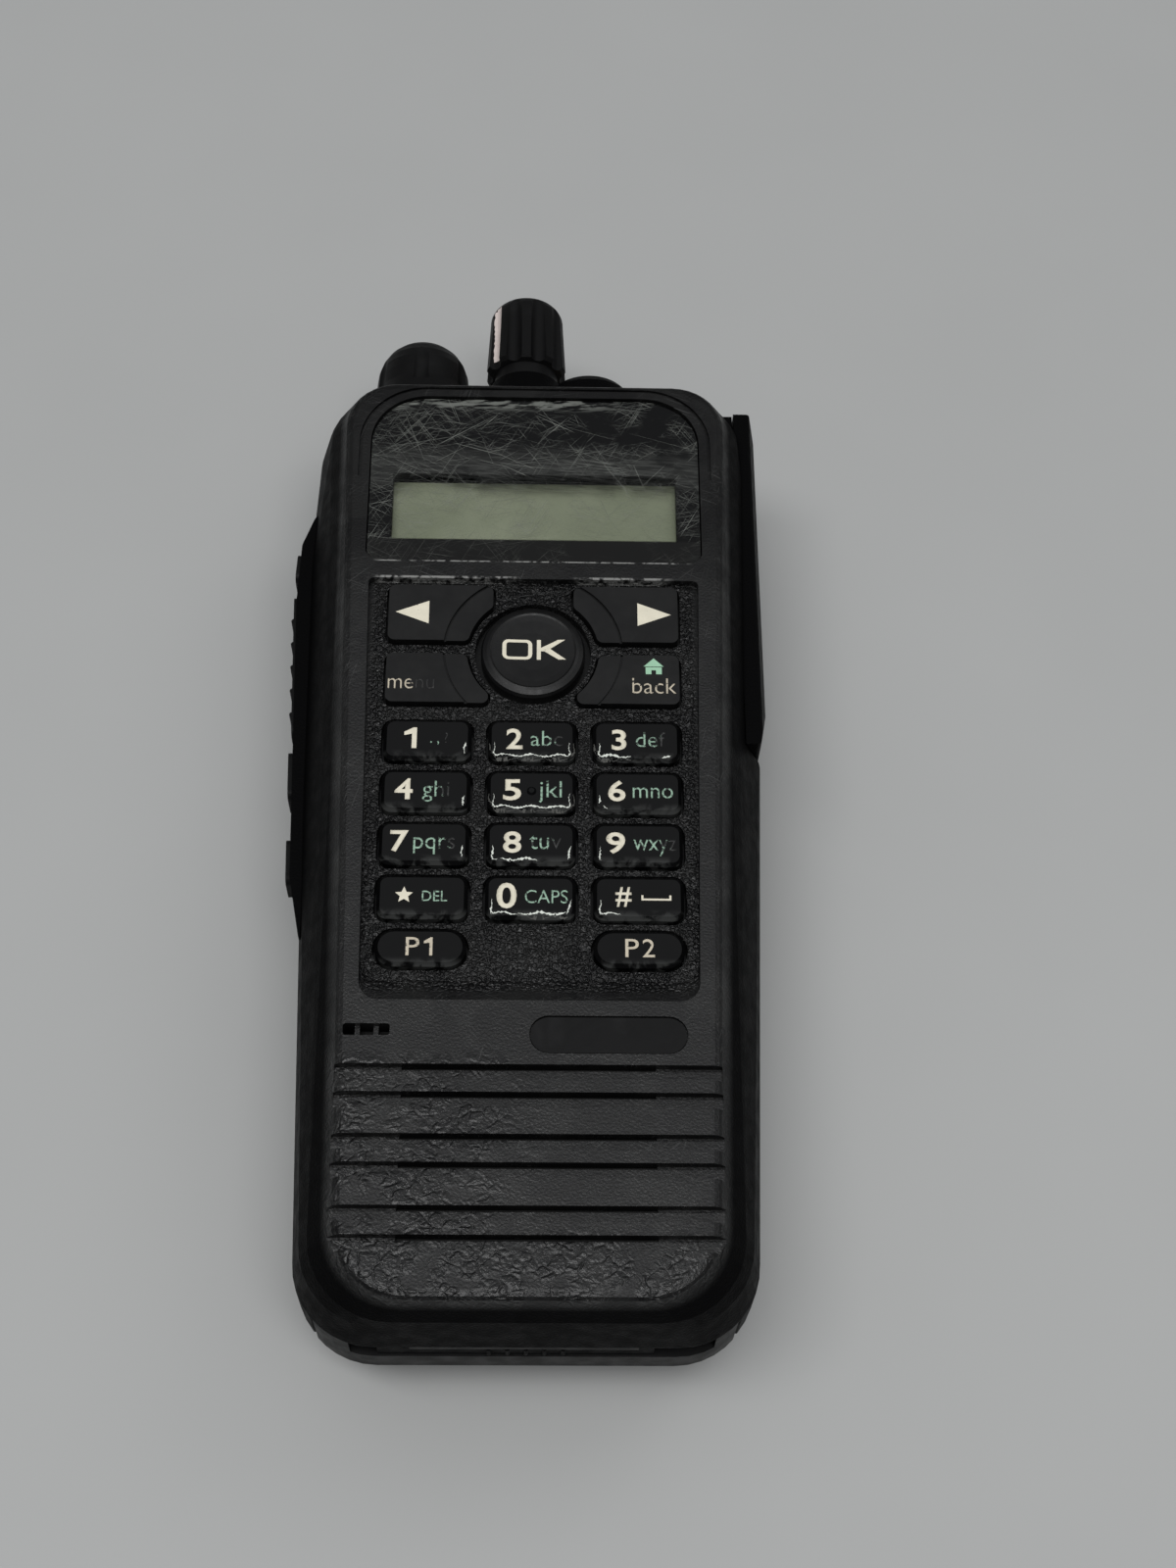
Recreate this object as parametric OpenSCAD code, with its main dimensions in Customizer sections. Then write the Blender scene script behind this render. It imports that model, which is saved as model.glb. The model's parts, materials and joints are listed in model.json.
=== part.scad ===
// Handheld two-way radio with display, full keypad, two top knobs and a slide-off battery.
// Lies on its battery: +Z out of the front face, +Y towards the knobs, +X towards the accessory port.
// The origin is on the battery's flat back, under the middle of the body.

/* [Body] */
// Width across the shoulders, without the side controls
body_w = 62.8; // [58:0.2:68]
// Length without the knobs
body_l = 131.5; // [126:0.5:140]
// Depth from the battery's back to the front panel
body_t = 35.2; // [33:0.2:40]
// Wall of the housing's sides
wall = 2.2; // [1.8:0.1:2.8]
// Thickness of the front skin under the keypad
skin = 1.6; // [1.2:0.1:2]
// Half width lost from the shoulders to the top end
top_taper = 1.0; // [0.5:0.1:3]
// Half width lost from the shoulders to the bottom end
foot_taper = 3.5; // [1:0.1:6]
// Distance of the shoulders from the top end
shoulder_drop = 29.75; // [26:0.25:34]
// Radius of the top corners
top_r = 6; // [5:0.5:9]
// Radius of the shoulders
shoulder_r = 12; // [8:0.5:16]
// Radius of the bottom corners
foot_r = 10; // [6:0.5:13]
// Clearance between pieces that are assembled together
fit = 0.15; // [0.1:0.05:0.25]
// Clearance between pieces that move past each other
run = 0.3; // [0.2:0.05:0.4]

/* [Front face] */
// Drop from the panel to the widest level of the housing
girth_drop = 13.2; // [11:0.2:15]
// Drop from the panel to the ridge along the sides
rim_drop = 7.2; // [5:0.2:9]
// How far the ridge along the sides lies inside the widest level, at the shoulders
rim_in = 3.6; // [2:0.2:5]
// The same at the top end
rim_top_in = 1.6; // [1:0.2:3]
// The same at the bottom end
rim_foot_in = 1.2; // [0.6:0.2:2.4]
// How far the panel's edge lies inside the widest level, at the shoulders
panel_in = 7.2; // [6.4:0.2:7.6]
// The same at the top end
panel_top_in = 4.4; // [4:0.2:5.2]
// The same at the bottom end
panel_foot_in = 5.4; // [4:0.2:6.4]
// Rounding of the panel's edge, seen from above
panel_edge = 1.4; // [1:0.2:2.4]
// Rounding of the panel's edge, in depth
panel_round = 1.0; // [0.6:0.1:1.6]
// Slope of the panel's lower end, seen from above
foot_slope = 2.0; // [1:0.1:2.4]
// Depth of the keypad recess below the panel
recess_d = 1.2; // [1:0.1:1.6]
// Width of the keypad recess at its upper end
recess_w = 43.6; // [42:0.2:46]
// Width that the keypad recess loses to its lower end
recess_taper = 2.4; // [0:0.2:4]

/* [Display] */
// Width of the display lens
lens_w = 44.6; // [42:0.2:46]
// Height of the display lens
lens_h = 26.8; // [24:0.2:30]
// Thickness of the display lens
lens_t = 1.5; // [1:0.1:2]
// Distance of the lens from the top end
lens_drop = 3.35; // [3:0.05:5]
// How far the lens lies below the panel
lens_sink = 0.5; // [0.2:0.1:0.8]
// Radius of the lens's top corners
lens_top_r = 7.5; // [4:0.5:9]
// Radius of the lens's bottom corners
lens_foot_r = 1.6; // [0.8:0.1:3]
// Width of the bead round the lens
bead_w = 1.1; // [0.7:0.1:1.4]
// Width of the liquid crystal's visible field
lcd_w = 38.4; // [34:0.2:39]
// Height of the liquid crystal's visible field
lcd_h = 9.2; // [7:0.2:12]
// Distance of the visible field from the lens's lower edge
lcd_up = 4.0; // [3:0.2:6]

/* [Keypad] */
// Width of a number key
key_w = 11.2; // [10:0.1:12]
// Height of a number key
key_h = 5.9; // [5:0.1:6.2]
// Corner radius of a number key
key_r = 1.4; // [0.8:0.1:2]
// Distance between key columns
pitch_x = 13.35; // [13:0.05:14]
// Distance between key rows
pitch_y = 7.35; // [7.3:0.05:7.8]
// Height of the key tops above the recess floor
key_up = 0.8; // [0.6:0.1:1.5]
// Travel of every key
key_travel = 0.5; // [0.3:0.05:0.6]
// Gap round each key
key_gap = 0.35; // [0.25:0.05:0.4]
// Width of the flange that keeps a key behind the skin
flange_w = 0.25; // [0.2:0.05:0.3]
// Thickness of that flange
flange_t = 0.6; // [0.4:0.1:0.8]
// Width of the two programmable keys
pill_w = 11.2; // [10:0.1:12]
// Height of the two programmable keys
pill_h = 4.9; // [4.2:0.1:5.4]
// Distance of the programmable keys below the last number row
pill_drop = 6.8; // [6.4:0.1:7.2]
// Radius of the round centre key
ok_r = 6.8; // [6:0.1:6.9]
// Gap round the centre key
ok_gap = 0.8; // [0.4:0.1:0.9]
// Distance from the lens to the middle of the centre key
ok_drop = 13.8; // [13:0.05:14.5]
// Distance from the centre key to the first number row
grid_drop = 13.3; // [13.2:0.05:14]
// Half width of the navigation key field
nav_x = 19.0; // [18:0.1:19.4]
// Height of the two arrow keys
arrow_h = 8.5; // [8:0.1:8.7]
// Distance of the arrow keys above the middle of the centre key
arrow_up = 1.5; // [1.4:0.1:1.7]
// Half gap between the arrow keys
arrow_gap = 5.3; // [4.6:0.05:6]
// Height of the two soft keys
soft_h = 7.3; // [7:0.1:7.5]
// Distance of the soft keys below the middle of the centre key
soft_down = 0.5; // [0.4:0.1:0.8]
// Half gap between the soft keys
soft_gap = 5.75; // [5:0.05:6.4]
// Radius of the arc that cuts the navigation keys
nav_arc = 8.6; // [8.5:0.05:9]
// Radius of the step in the navigation keys
nav_step = 11.6; // [10.5:0.1:13]

/* [Lower front] */
// Distance of the first grille slot from the bottom end
grille_up = 30.2; // [29:0.2:31]
// Width of the grille slots
grille_w = 46.0; // [40:0.5:47]
// Height of one grille slot
slot_h = 1.85; // [1.4:0.05:2.1]
// Depth of the recessed louvre in a slot
slot_d = 1.0; // [0.8:0.1:1.2]
// Width of the sound gap above a louvre
sound_gap = 0.5; // [0.4:0.05:0.7]
// Distance between the two slots of a pair
pair_pitch = 3.45; // [3.2:0.05:3.6]
// Distance between pairs of slots
group_pitch = 8.6; // [7.6:0.05:8.7]
// Number of slot pairs
groups = 3; // [1:1:3]
// Radius of the loudspeaker
speaker_r = 14.6; // [13:0.2:14.8]
// Length of the oval name plate
plate_w = 19.0; // [14:0.5:20]
// Height of the oval name plate
plate_h = 4.8; // [4:0.1:5.2]
// Length of the microphone slot
mic_w = 5.6; // [4:0.2:6.4]
// Height of the microphone slot
mic_h = 1.5; // [1.2:0.05:1.8]

/* [Knobs and antenna] */
// Drop from the panel to the axes of the knobs and the antenna
axis_drop = 15.2; // [14.2:0.2:16.2]
// Sideways place of the volume knob
volume_x = -16.5; // [-17:0.1:-16]
// Radius of the volume knob's skirt
volume_r = 7.5; // [6.6:0.1:7.6]
// Height of the volume knob
volume_h = 15.6; // [12:0.2:17]
// Sideways place of the channel knob
channel_x = -1.4; // [-2:0.1:-1]
// Radius of the channel knob's grip
channel_r = 5.9; // [5.2:0.1:6.2]
// Height of the channel knob's fluted grip
channel_h = 12.4; // [9:0.2:14]
// Height of the channel knob's smooth neck
neck_h = 2.2; // [1.6:0.2:4]
// Radius of the channel knob's smooth neck
neck_r = 4.6; // [4:0.1:5]
// Number of flutes on the volume knob
volume_flutes = 6; // [4:1:7]
// Number of flutes on the channel knob
channel_flutes = 10; // [6:1:11]
// Radius of the two control shafts
shaft_r = 2.0; // [1.6:0.1:2.2]
// Sideways place of the antenna port
antenna_x = 7.8; // [7.4:0.1:8.6]
// Radius of the antenna port's bore
antenna_bore_r = 3.2; // [2.6:0.1:3.4]
// Height of the antenna boss above the top end
antenna_up = 8.2; // [5:0.2:8.4]
// Height of the collar under the channel knob
collar_up = 9.2; // [8.6:0.2:9.8]

/* [Side controls] */
// How far the side bezel stands out of the wall
bezel_t = 1.2; // [0.9:0.1:1.6]
// Length of the push-to-talk button
ptt_l = 22.2; // [20:0.2:23]
// How far the push-to-talk button stands out of the bezel
ptt_out = 0.8; // [0.5:0.1:1.2]
// Travel of the push-to-talk button
ptt_travel = 0.8; // [0.5:0.1:1]
// How far the small side buttons stand out of the bezel
side_out = 0.7; // [0.4:0.1:1]
// Travel of the small side buttons
side_travel = 0.5; // [0.3:0.1:0.7]
// Height of the side buttons, across the radio's depth
side_h = 5.4; // [4.8:0.1:5.6]

/* [Accessory port] */
// Thickness of the port's dust cover
cover_t = 3.4; // [3:0.1:3.6]
// How far the dust cover's front edge is drawn in
cover_slope = 1.1; // [0.4:0.1:1.6]
// Length of the dust cover
cover_l = 53.5; // [48:0.5:55]
// Depth of the dust cover across the side
cover_d = 12.8; // [11:0.2:13]

/* [Battery] */
// How far the battery's bottom end slopes in towards its back
battery_slope = 4.0; // [2:0.2:6]
// Depth of the radio in front of its battery
radio_t = 20.3; // [20:0.1:22]
// Length of the block that closes the back above the battery
head_l = 16.25; // [16:0.25:20]
// Thickness of the foot that closes the radio's bottom end
foot_t = 3.35; // [3:0.05:4]
// Drop from the panel to the front of that foot
foot_drop = 13.6; // [13.2:0.2:14.4]
// Length of the battery rails
rail_l = 22; // [16:1:26]
// Travel of the battery latch from open to locked
latch_travel = 2.0; // [1.5:0.1:2.2]

/* [Hidden] */
NUMBER_KEYS = [["key_1", 0, 0], ["key_2", 1, 0], ["key_3", 2, 0],
               ["key_4", 0, 1], ["key_5", 1, 1], ["key_6", 2, 1],
               ["key_7", 0, 2], ["key_8", 1, 2], ["key_9", 2, 2],
               ["key_star", 0, 3], ["key_0", 1, 3], ["key_hash", 2, 3]];
// Name, side (-1 left, 1 right) and whether the key is one of the upper, arrow keys
NAV_KEYS = [["key_left", -1, true], ["key_right", 1, true],
            ["key_menu", -1, false], ["key_back", 1, false]];
PILL_KEYS = [["key_p1", -1], ["key_p2", 1]];
$fn = 64;
hull_fn = 36;    // facets of a full circle in a blended shape
corner_fn = 24;  // facets of a full circle in a small rounded corner
slice = 0.02;    // thickness of the thin slices that a blend is drawn over
far = 200;       // longer than the whole radio, for cuts that run right through

// Ends and levels of the body
half_w = body_w / 2;
top_y = body_l / 2;
foot_y = -body_l / 2;
shoulder_y = top_y - shoulder_drop;
z_girth = body_t - girth_drop;
z_rim = body_t - rim_drop;
z_crown = body_t - panel_round;
z_recess = body_t - recess_d;
axis_z = body_t - axis_drop;
foot_h = body_t - foot_drop;
z_skin = z_recess - skin;
z_split = body_t - radio_t;

// A level of the outline: height, half widths and y of its three pairs of corner circles, and their radii.
// The pairs are those of the top end, the shoulders and the bottom end.
function outline_level(z, widths, y_top, y_mid, y_foot, radii) =
    [z, widths, [y_top - radii[0], y_mid, y_foot + radii[2]], radii];
// The same level drawn in by d all round, at height z
function drawn_in(level, d, z) =
    [z, [for (w = level[1]) w - d], level[2], [for (r = level[3]) r - d]];

mid_drop = 12;   // how far the ridge and the panel are widest below the shoulders
panel_end = 0.7; // how far the panel's edge lies inside the top end
girth = outline_level(z_girth, [half_w - top_taper, half_w, half_w - foot_taper],
                      top_y, shoulder_y, foot_y, [top_r, shoulder_r, foot_r]);
rim = outline_level(z_rim, [girth[1][0] - rim_top_in, half_w - rim_in, girth[1][2] - rim_foot_in],
                    top_y, shoulder_y - mid_drop, foot_y + rim_foot_in / 2, [top_r, shoulder_r, foot_r]);
crown = outline_level(z_crown, [girth[1][0] - panel_top_in, half_w - panel_in, girth[1][2] - panel_foot_in],
                      top_y - panel_end, shoulder_y - mid_drop, foot_y + foot_slope,
                      [top_r + 1, shoulder_r, foot_r - 1]);
// A level between two others, at fraction t, that stands out by d except at the top end
function between(a, b, t, d) =
    [a[0] + (b[0] - a[0]) * t, [for (i = [0:2]) a[1][i] + (b[1][i] - a[1][i]) * t + d],
     a[2] + (b[2] - a[2]) * t - [d, 0, 0], [for (i = [0:2]) a[3][i] + (b[3][i] - a[3][i]) * t + d]];
// The same level with its bottom end raised by d
function raised_foot(level, d) = [level[0], level[1], level[2] + [0, 0, d], level[3]];
CROWN_STEPS = [0, 25, 50, 75, 90]; // angles of the slices that round the panel's edge

// Seat of the battery's foot in the bottom end, and flat of the accessory port on the right side
seat_y = foot_y + foot_t + fit;
seat_z = foot_h + fit;
cover_out = 0.1;  // how far the dust cover stands out of the shoulders
port_x = half_w + cover_out - cover_t - 0.5 * run;
port_y = top_y - cover_l - 2 * run;
cavity_in = wall + 0.4; // how far the hollow lies inside the sloping faces
cover_low = z_split + 0.5; // lower edge of the dust cover
connector_y = port_y + 30;
connector_l = 24;
connector_h = 6.4;
connector_t = 2.6;
connector_lip = 1.2;    // flange that holds the connector behind the wall
connector_rim = 1;
port_z = z_split + 6.2;
port_end = 0.35;        // distance of the port's flat from the top end
port_in = 8;            // width of the block that carries the flat

// Display
bead_groove = 0.45; // width and depth of the groove outside the bead
lens_y = top_y - lens_drop - lens_h / 2;
z_lens = body_t - lens_sink;
gasket_t = 0.2;
z_lens_seat = z_lens - lens_t - gasket_t;
lcd_y = lens_y - lens_h / 2 + lcd_up + lcd_h / 2;
lcd_margin = 0.7; // glass round the visible field
window_margin = lcd_margin + run;

// Keypad
ok_y = lens_y - lens_h / 2 - ok_drop;
row_y = ok_y - grid_drop;
pill_y = row_y - 3 * pitch_y - pill_drop;
z_key = z_recess + key_up;
key_slack = 0.05;  // play between a key's flange and the skin
z_flange = z_skin - key_slack - flange_t;
z_membrane = z_flange - key_travel - run;
z_sheet = z_membrane - 0.35; // rubber sheet under its domes
sheet_t = 0.6;
keypad_board_t = 1.2;
pad_dome_r = 1.6;
nav_r = 0.9;        // corner radius of the navigation keys
nav_middle = 14.6;  // sideways place of the navigation keys' domes
recess_r = 2.4;     // radius of its lower corners
recess_ramp = 3;    // length of the slope at its lower end
recess_rim = 0.85;  // recess floor above the arrow keys
recess_end = 1.6;   // and below the programmable keys
recess_top = ok_y + arrow_up + arrow_h + recess_rim;
recess_foot = pill_y - pill_h / 2 - recess_end;
key_bevel = 0.45;
pad_w = 39.8;      // width of the keypad's rubber sheet and board
pad_rim = 0.9;     // width of the raised ends of the sheet
pad_end = 0.6;     // clearance between those ends and the keys' flanges
pad_more = key_gap + flange_w + pad_end + pad_rim;
pad_y = [pill_y - pill_h / 2 - pad_more, ok_y + arrow_up + arrow_h + pad_more];

// Lower front
grille_y = foot_y + grille_up;
speaker_y = grille_y - ((groups - 1) * group_pitch + pair_pitch + slot_h) / 2;
grille_skin = 2.0; // thickness of the skin behind the grille
basket_r = speaker_r - 1.6;
magnet_r = 8.4;
magnet_t = 3.6;
flange_z = z_skin - 1.2;
basket_z = flange_z - 4.6;
pocket_w = 2 * speaker_r + 2;
z_pocket = body_t - grille_skin;
mic_in = 12;           // middle of the microphone slot, inside the shoulders
mic_x = mic_in - half_w;
mic_y = grille_y + 4.3;    // line of the microphone slot
plate_y = grille_y + 3.8;  // line of the name plate
plate_x = plate_w / 2;
plate_d = 0.6;

// Top end
bushing_r = shaft_r + 1.4;
nut_r = bushing_r + 0.9;
nut_t = 0.9;
bushing_wall = top_y - wall;
led_x = (volume_x + channel_x) / 2 - 0.1;
led_z = axis_z + 4.5;
led_r = 1.4;
top_button_in = 11.2;  // inside the shoulders
top_button_x = half_w - top_button_in;
top_button_r = 2.8;
top_button_out = 0.9;
top_button_travel = 0.7;
switch_w = 9;             // bodies of the two control switches
switch_l = 7.6;
switch_up = 5;            // above the knob axes
switch_down = 3.4;        // and below them
wall_lean = 0.5;          // room for the end wall's lean behind what is fixed to it
antenna_r = antenna_bore_r + 1.2;
boss_top_r = antenna_r + 1.8;
boss_base_r = boss_top_r + 2.4;
collar_r = neck_r + 0.7;
boss_lip = 1.4;
shaft_play = 0.05;
shaft_root = 2.3;  // floor of a control switch under its shaft
knob_cap = 2;      // cap of a knob above its bore
boss_root = 1; // how deep the bosses start below the top end's face
neck_y = top_y + collar_up + run;
grip_y = neck_y + neck_h;

// Side controls, laid out along the left wall; y runs up from the shoulder's tangent
lower_lean = atan2(foot_taper - (shoulder_r - foot_r), shoulder_y - foot_y - foot_r)
             + asin((shoulder_r - foot_r) / norm([foot_taper - (shoulder_r - foot_r), shoulder_y - foot_y - foot_r]));
upper_run = [top_taper - (shoulder_r - top_r), top_y - top_r - shoulder_y];
upper_lean = atan2(upper_run[0], upper_run[1]) + asin((shoulder_r - top_r) / norm(upper_run));
side_z = (z_split + z_girth) / 2 + 1; // middle of the side buttons
button_1 = [4.1, 4.3];    // start and length, on the upper part of the wall
button_2 = [-28.9, 6.9];  // start and length, below the push-to-talk button
button_3 = [-41.4, 6.4];
ptt_start = -19.6;
side_flange_t = 0.7;
side_flange_w = 0.5;
bezel_end = 8;            // bezel beyond the outermost buttons
bezel_h = side_h + 3.6;
switch_t = 0.8;           // thickness of the side switch board
dome_r = 1.6;
dome_h = 0.6;

// Chassis
floor_t = 2.3;
chassis_in = wall + fit;
chassis_wall = 1.6;
z_chassis = z_split + floor_t;
board_up = 7.0;
z_board = z_split + board_up;
main_board_t = 1.4;
board_in = 0.8;           // how far the board's edge keeps off the chassis wall
board_end = 3;
head_y = top_y - head_l;  // lower end of the block that closes the back at the top
head_z = 2.0;
head_end = boss_root + run;
head_wall = 2.4;
head_floor = 2.6;
screw_in = 13.4;          // screws inside the shoulders
screw_x = half_w - screw_in;
screw_up = 5.5;           // screws above the block's lower end
screw_head_r = 1.9;
screw_d = 1.4;            // depth of the screw seats
screw_t = 1.2;
seal_t = 1.0;
seal_z = z_split + 0.3;
seal_d = 0.8;

// Battery
back_round = 3;           // rounding of the back's long edges, in depth
back_in = 2.6;            // and seen from the back
battery_in = 0.6;
cover_z = 2.6;            // thickness of the battery's back cover
battery_top = head_y - run;
battery_l = battery_top - foot_y - foot_t;
battery_t = z_split - run;
cell_roof = 4.6;          // battery in front of the cell space
cell_z = battery_t - cell_roof;
rail_in = 12.4;           // middle of a rail, inside the shoulders
rail_x = half_w - rail_in;
rail_w = 4;
stem_w = 1.6;
lip_z = battery_t - 4;
lip_t = 1.6;
rail_end = 3.4;           // battery beyond the rails at the top
rail_y = battery_top - rail_end - rail_l;
contact_drop = 13.2;      // middle of the battery contacts below the battery's top
contact_y = battery_top - contact_drop;
contact_l = 6;
contact_w = 1.2;
contact_pitch = 3.2;
contact_h = 1.2;
contacts = 4;
groove_w = contacts * contact_pitch + 2;
clip_w = 20;              // mouth of the belt clip slot
clip_lip = 2;
clip_l = 27;
clip_d = 1.6;
cells_gap = 1.5;
cell_w = 24;
cell_l = 46;

// Battery latch, which slides to the right to lock
latch_z = foot_h - 2.8;   // middle of the latch, above the battery's back
latch_h = 2.8;
latch_t = 1.35;
hook_h = 2.4;
hook_w = 1.6;
hook_tip = 2.1;
hook_x = [-17.6, 13.6];   // left edges of the two hooks when the latch is open
hook_t = 1.0;
bay_x = [[-20.9, -13.7], [13.3, 22.5]]; // the two windows in the battery's foot

// ---------- shapes used by several pieces ----------

// Circles of one outline level, as thin discs whose tops lie at the level's height
module discs(level) {
    for (side = [-1, 1], i = [0:2])
        translate([side * (level[1][i] - level[3][i]), level[2][i], level[0] - slice])
            cylinder(r = level[3][i], h = slice, $fn = hull_fn);
}

// Filled outline of a level, drawn in by d
module plan(level, d = 0) {
    hull()
        for (side = [-1, 1], i = [0:2])
            translate([side * (level[1][i] - level[3][i]), level[2][i]])
                circle(r = level[3][i] - d, $fn = hull_fn);
}

// Outline of the pieces inside the side walls, d inside the outer faces
module inner_plan(d) {
    intersection() {
        plan(girth, d);
        translate([-far / 2, seat_y + d]) square(far);
        union() {
            translate([-far / 2, -far]) square([far, far + port_y - d]);
            translate([-far, -far]) square([far + port_x - d, 2 * far]);
        }
    }
}

module rounded(w, h, r) {
    offset(r = r, $fn = corner_fn) square([w - 2 * r, h - 2 * r], center = true);
}

// Puts children on the left wall below the shoulders: x runs inwards, y up the wall
module on_lower_wall() {
    translate([-(half_w - shoulder_r), shoulder_y, 0]) rotate([0, 0, lower_lean])
        translate([-shoulder_r, 0, 0]) children();
}

// The same above the shoulders
module on_upper_wall() {
    translate([-(half_w - shoulder_r), shoulder_y, 0]) rotate([0, 0, -upper_lean])
        translate([-shoulder_r, 0, 0]) children();
}

// A rounded block that lies along the wall, from x0 to x1
module wall_block(x0, x1, y0, length, height, r) {
    translate([x0, y0 + length / 2, side_z]) rotate([90, 0, 90])
        linear_extrude(x1 - x0) rounded(length, height, r);
}

// Puts children on a knob's axis, with z along it and zero at height y of the top end
module on_axis(x, y) {
    translate([x, y, axis_z]) rotate([-90, 0, 0]) children();
}

// Outer form of the front housing, blended over its levels
module housing_form() {
    hull() {
        discs(drawn_in(girth, 0, z_split + slice));
        discs(girth);
        discs(rim);
        discs(between(rim, crown, 0.4, 0.5));
        for (a = CROWN_STEPS)
            discs(drawn_in(crown, panel_edge * (1 - cos(a)), z_crown + panel_round * sin(a)));
    }
}

// Hollow of the front housing
module housing_hollow() {
    difference() {
        hull() {
            discs(drawn_in(girth, wall, z_split - run));
            discs(drawn_in(girth, wall, z_girth));
            discs(drawn_in(rim, cavity_in, z_rim - 1));
            discs(drawn_in(crown, cavity_in, z_skin));
        }
        translate([port_x - wall, port_y - wall, 0]) cube([far, far, body_t]);
        translate([-far / 2, -far, 0]) cube([far, far + seat_y + wall, seat_z + wall]);
    }
}

// ---------- keys ----------

module nav_outline(side, upper, grow = 0) {
    inner = upper ? arrow_gap : soft_gap;
    h = upper ? arrow_h : soft_h;
    y0 = upper ? arrow_up : -soft_down - soft_h;
    offset(r = nav_r + grow, $fn = corner_fn) offset(delta = -nav_r)
        translate([0, ok_y]) difference() {
            translate([side > 0 ? inner : -nav_x, y0]) square([nav_x - inner, h]);
            circle(r = nav_arc, $fn = 96);
        }
}

module number_outline(grow = 0) {
    rounded(key_w + 2 * grow, key_h + 2 * grow, key_r + grow);
}

module pill_outline(grow = 0) {
    rounded(pill_w + 2 * grow, pill_h + 2 * grow, pill_h / 2 - 0.05 + grow);
}

function number_place(column, row) = [(column - 1) * pitch_x, row_y - row * pitch_y, 0];
function pill_place(side) = [side * pitch_x, pill_y, 0];

// A key with a bevelled cap, standing on the flange that keeps it behind the skin
module convex_key() {
    translate([0, 0, z_flange]) linear_extrude(flange_t) offset(r = key_gap + flange_w) children();
    hull() {
        translate([0, 0, z_flange + flange_t / 2]) linear_extrude(z_key - key_bevel - z_flange - flange_t / 2)
            children();
        translate([0, 0, z_key - slice]) linear_extrude(slice) offset(delta = -key_bevel) children();
    }
}

module number_key(column, row) {
    color("#1b1b1c") translate(number_place(column, row)) {
        convex_key() number_outline();
        if (column == 1 && row == 1)
            translate([0, 0, z_key]) cylinder(r1 = 0.6, r2 = 0.35, h = 0.25);
    }
}

module pill_key(side) {
    color("#1b1b1c") translate(pill_place(side)) convex_key() pill_outline();
}

module nav_key(side, upper) {
    step_d = 0.2;
    groove_d = 0.45;
    groove_w = 0.3;
    color("#1f1f20") difference() {
        union() {
            translate([0, 0, z_flange]) linear_extrude(flange_t) difference() {
                nav_outline(side, upper, key_gap + flange_w);
                translate([0, ok_y]) circle(r = ok_r + ok_gap + flange_w + 0.3);
            }
            translate([0, 0, z_flange]) linear_extrude(z_key - z_flange) nav_outline(side, upper);
        }
        translate([0, ok_y, z_key - step_d]) cylinder(r = nav_step, h = 2 * step_d, $fn = 96);
        translate([0, ok_y, z_key - groove_d]) difference() {
            cylinder(r = nav_step + groove_w / 2, h = 2 * groove_d, $fn = 96);
            translate([0, 0, -1]) cylinder(r = nav_step - groove_w / 2, h = far, $fn = 96);
        }
    }
}

module ok_key() {
    rim_z = z_key + 0.2;
    color("#1b1b1c") translate([0, ok_y, 0]) {
        translate([0, 0, z_flange]) cylinder(r = ok_r + ok_gap + flange_w / 2, h = flange_t);
        rotate_extrude($fn = 96) polygon([
            [0, z_flange], [ok_r, z_flange], [ok_r, rim_z - 0.8], [ok_r - 0.25, rim_z - 0.35],
            [ok_r - 0.8, rim_z - 0.1], [ok_r - 1.15, rim_z], [ok_r - 1.4, rim_z - 0.12],
            [ok_r - 2.2, rim_z - 0.22], [ok_r - 4, rim_z - 0.36], [0, rim_z - 0.42]]);
    }
}

// Openings of all keys in the front skin
module key_openings() {
    translate([0, 0, z_skin - skin]) linear_extrude(2 * skin + recess_d) {
        for (k = NUMBER_KEYS) translate(number_place(k[1], k[2])) number_outline(key_gap);
        for (k = PILL_KEYS) translate(pill_place(k[1])) pill_outline(key_gap);
        for (k = NAV_KEYS) nav_outline(k[1], k[2], key_gap);
        translate([0, ok_y]) circle(r = ok_r + ok_gap, $fn = 96);
    }
}

// ---------- display ----------

module lens_outline(grow = 0) {
    offset(r = grow) hull()
        for (side = [-1, 1]) {
            translate([side * (lens_w / 2 - lens_top_r), lens_y + lens_h / 2 - lens_top_r]) circle(r = lens_top_r);
            translate([side * (lens_w / 2 - lens_foot_r), lens_y - lens_h / 2 + lens_foot_r])
                circle(r = lens_foot_r, $fn = corner_fn);
        }
}

module lcd_field(margin) {
    translate([0, lcd_y]) square([lcd_w + 2 * margin, lcd_h + 2 * margin], center = true);
}

module display_lens() {
    color("#0c0d0e") translate([0, 0, z_lens - lens_t]) linear_extrude(lens_t) lens_outline();
}

module lens_gasket() {
    color("#2b2b2b") translate([0, 0, z_lens_seat]) linear_extrude(gasket_t) difference() {
        lens_outline();
        lcd_field(window_margin);
    }
}

module lcd_module() {
    frame = 2.2;    // metal frame round the visible field
    driver = 4;     // frame beyond it at the top
    frame_t = 2.8;
    color("#9aa58c") {
        translate([-lcd_w / 2 - frame, lcd_y - lcd_h / 2 - frame, z_skin - frame_t])
            cube([lcd_w + 2 * frame, lcd_h + 2 * frame + driver, frame_t]);
        translate([0, 0, z_skin - slice]) linear_extrude(z_lens_seat - z_skin) lcd_field(lcd_margin);
    }
}

// ---------- front housing ----------

module recess_outline(lower = 0) {
    w0 = recess_w / 2;
    w1 = w0 - recess_taper / 2;
    hull()
        for (side = [-1, 1]) {
            translate([side * (w0 - 0.8), recess_top - 0.8]) circle(r = 0.8, $fn = corner_fn);
            translate([side * (w1 - recess_r), recess_foot + recess_r - lower]) circle(r = recess_r, $fn = corner_fn);
        }
}

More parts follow.
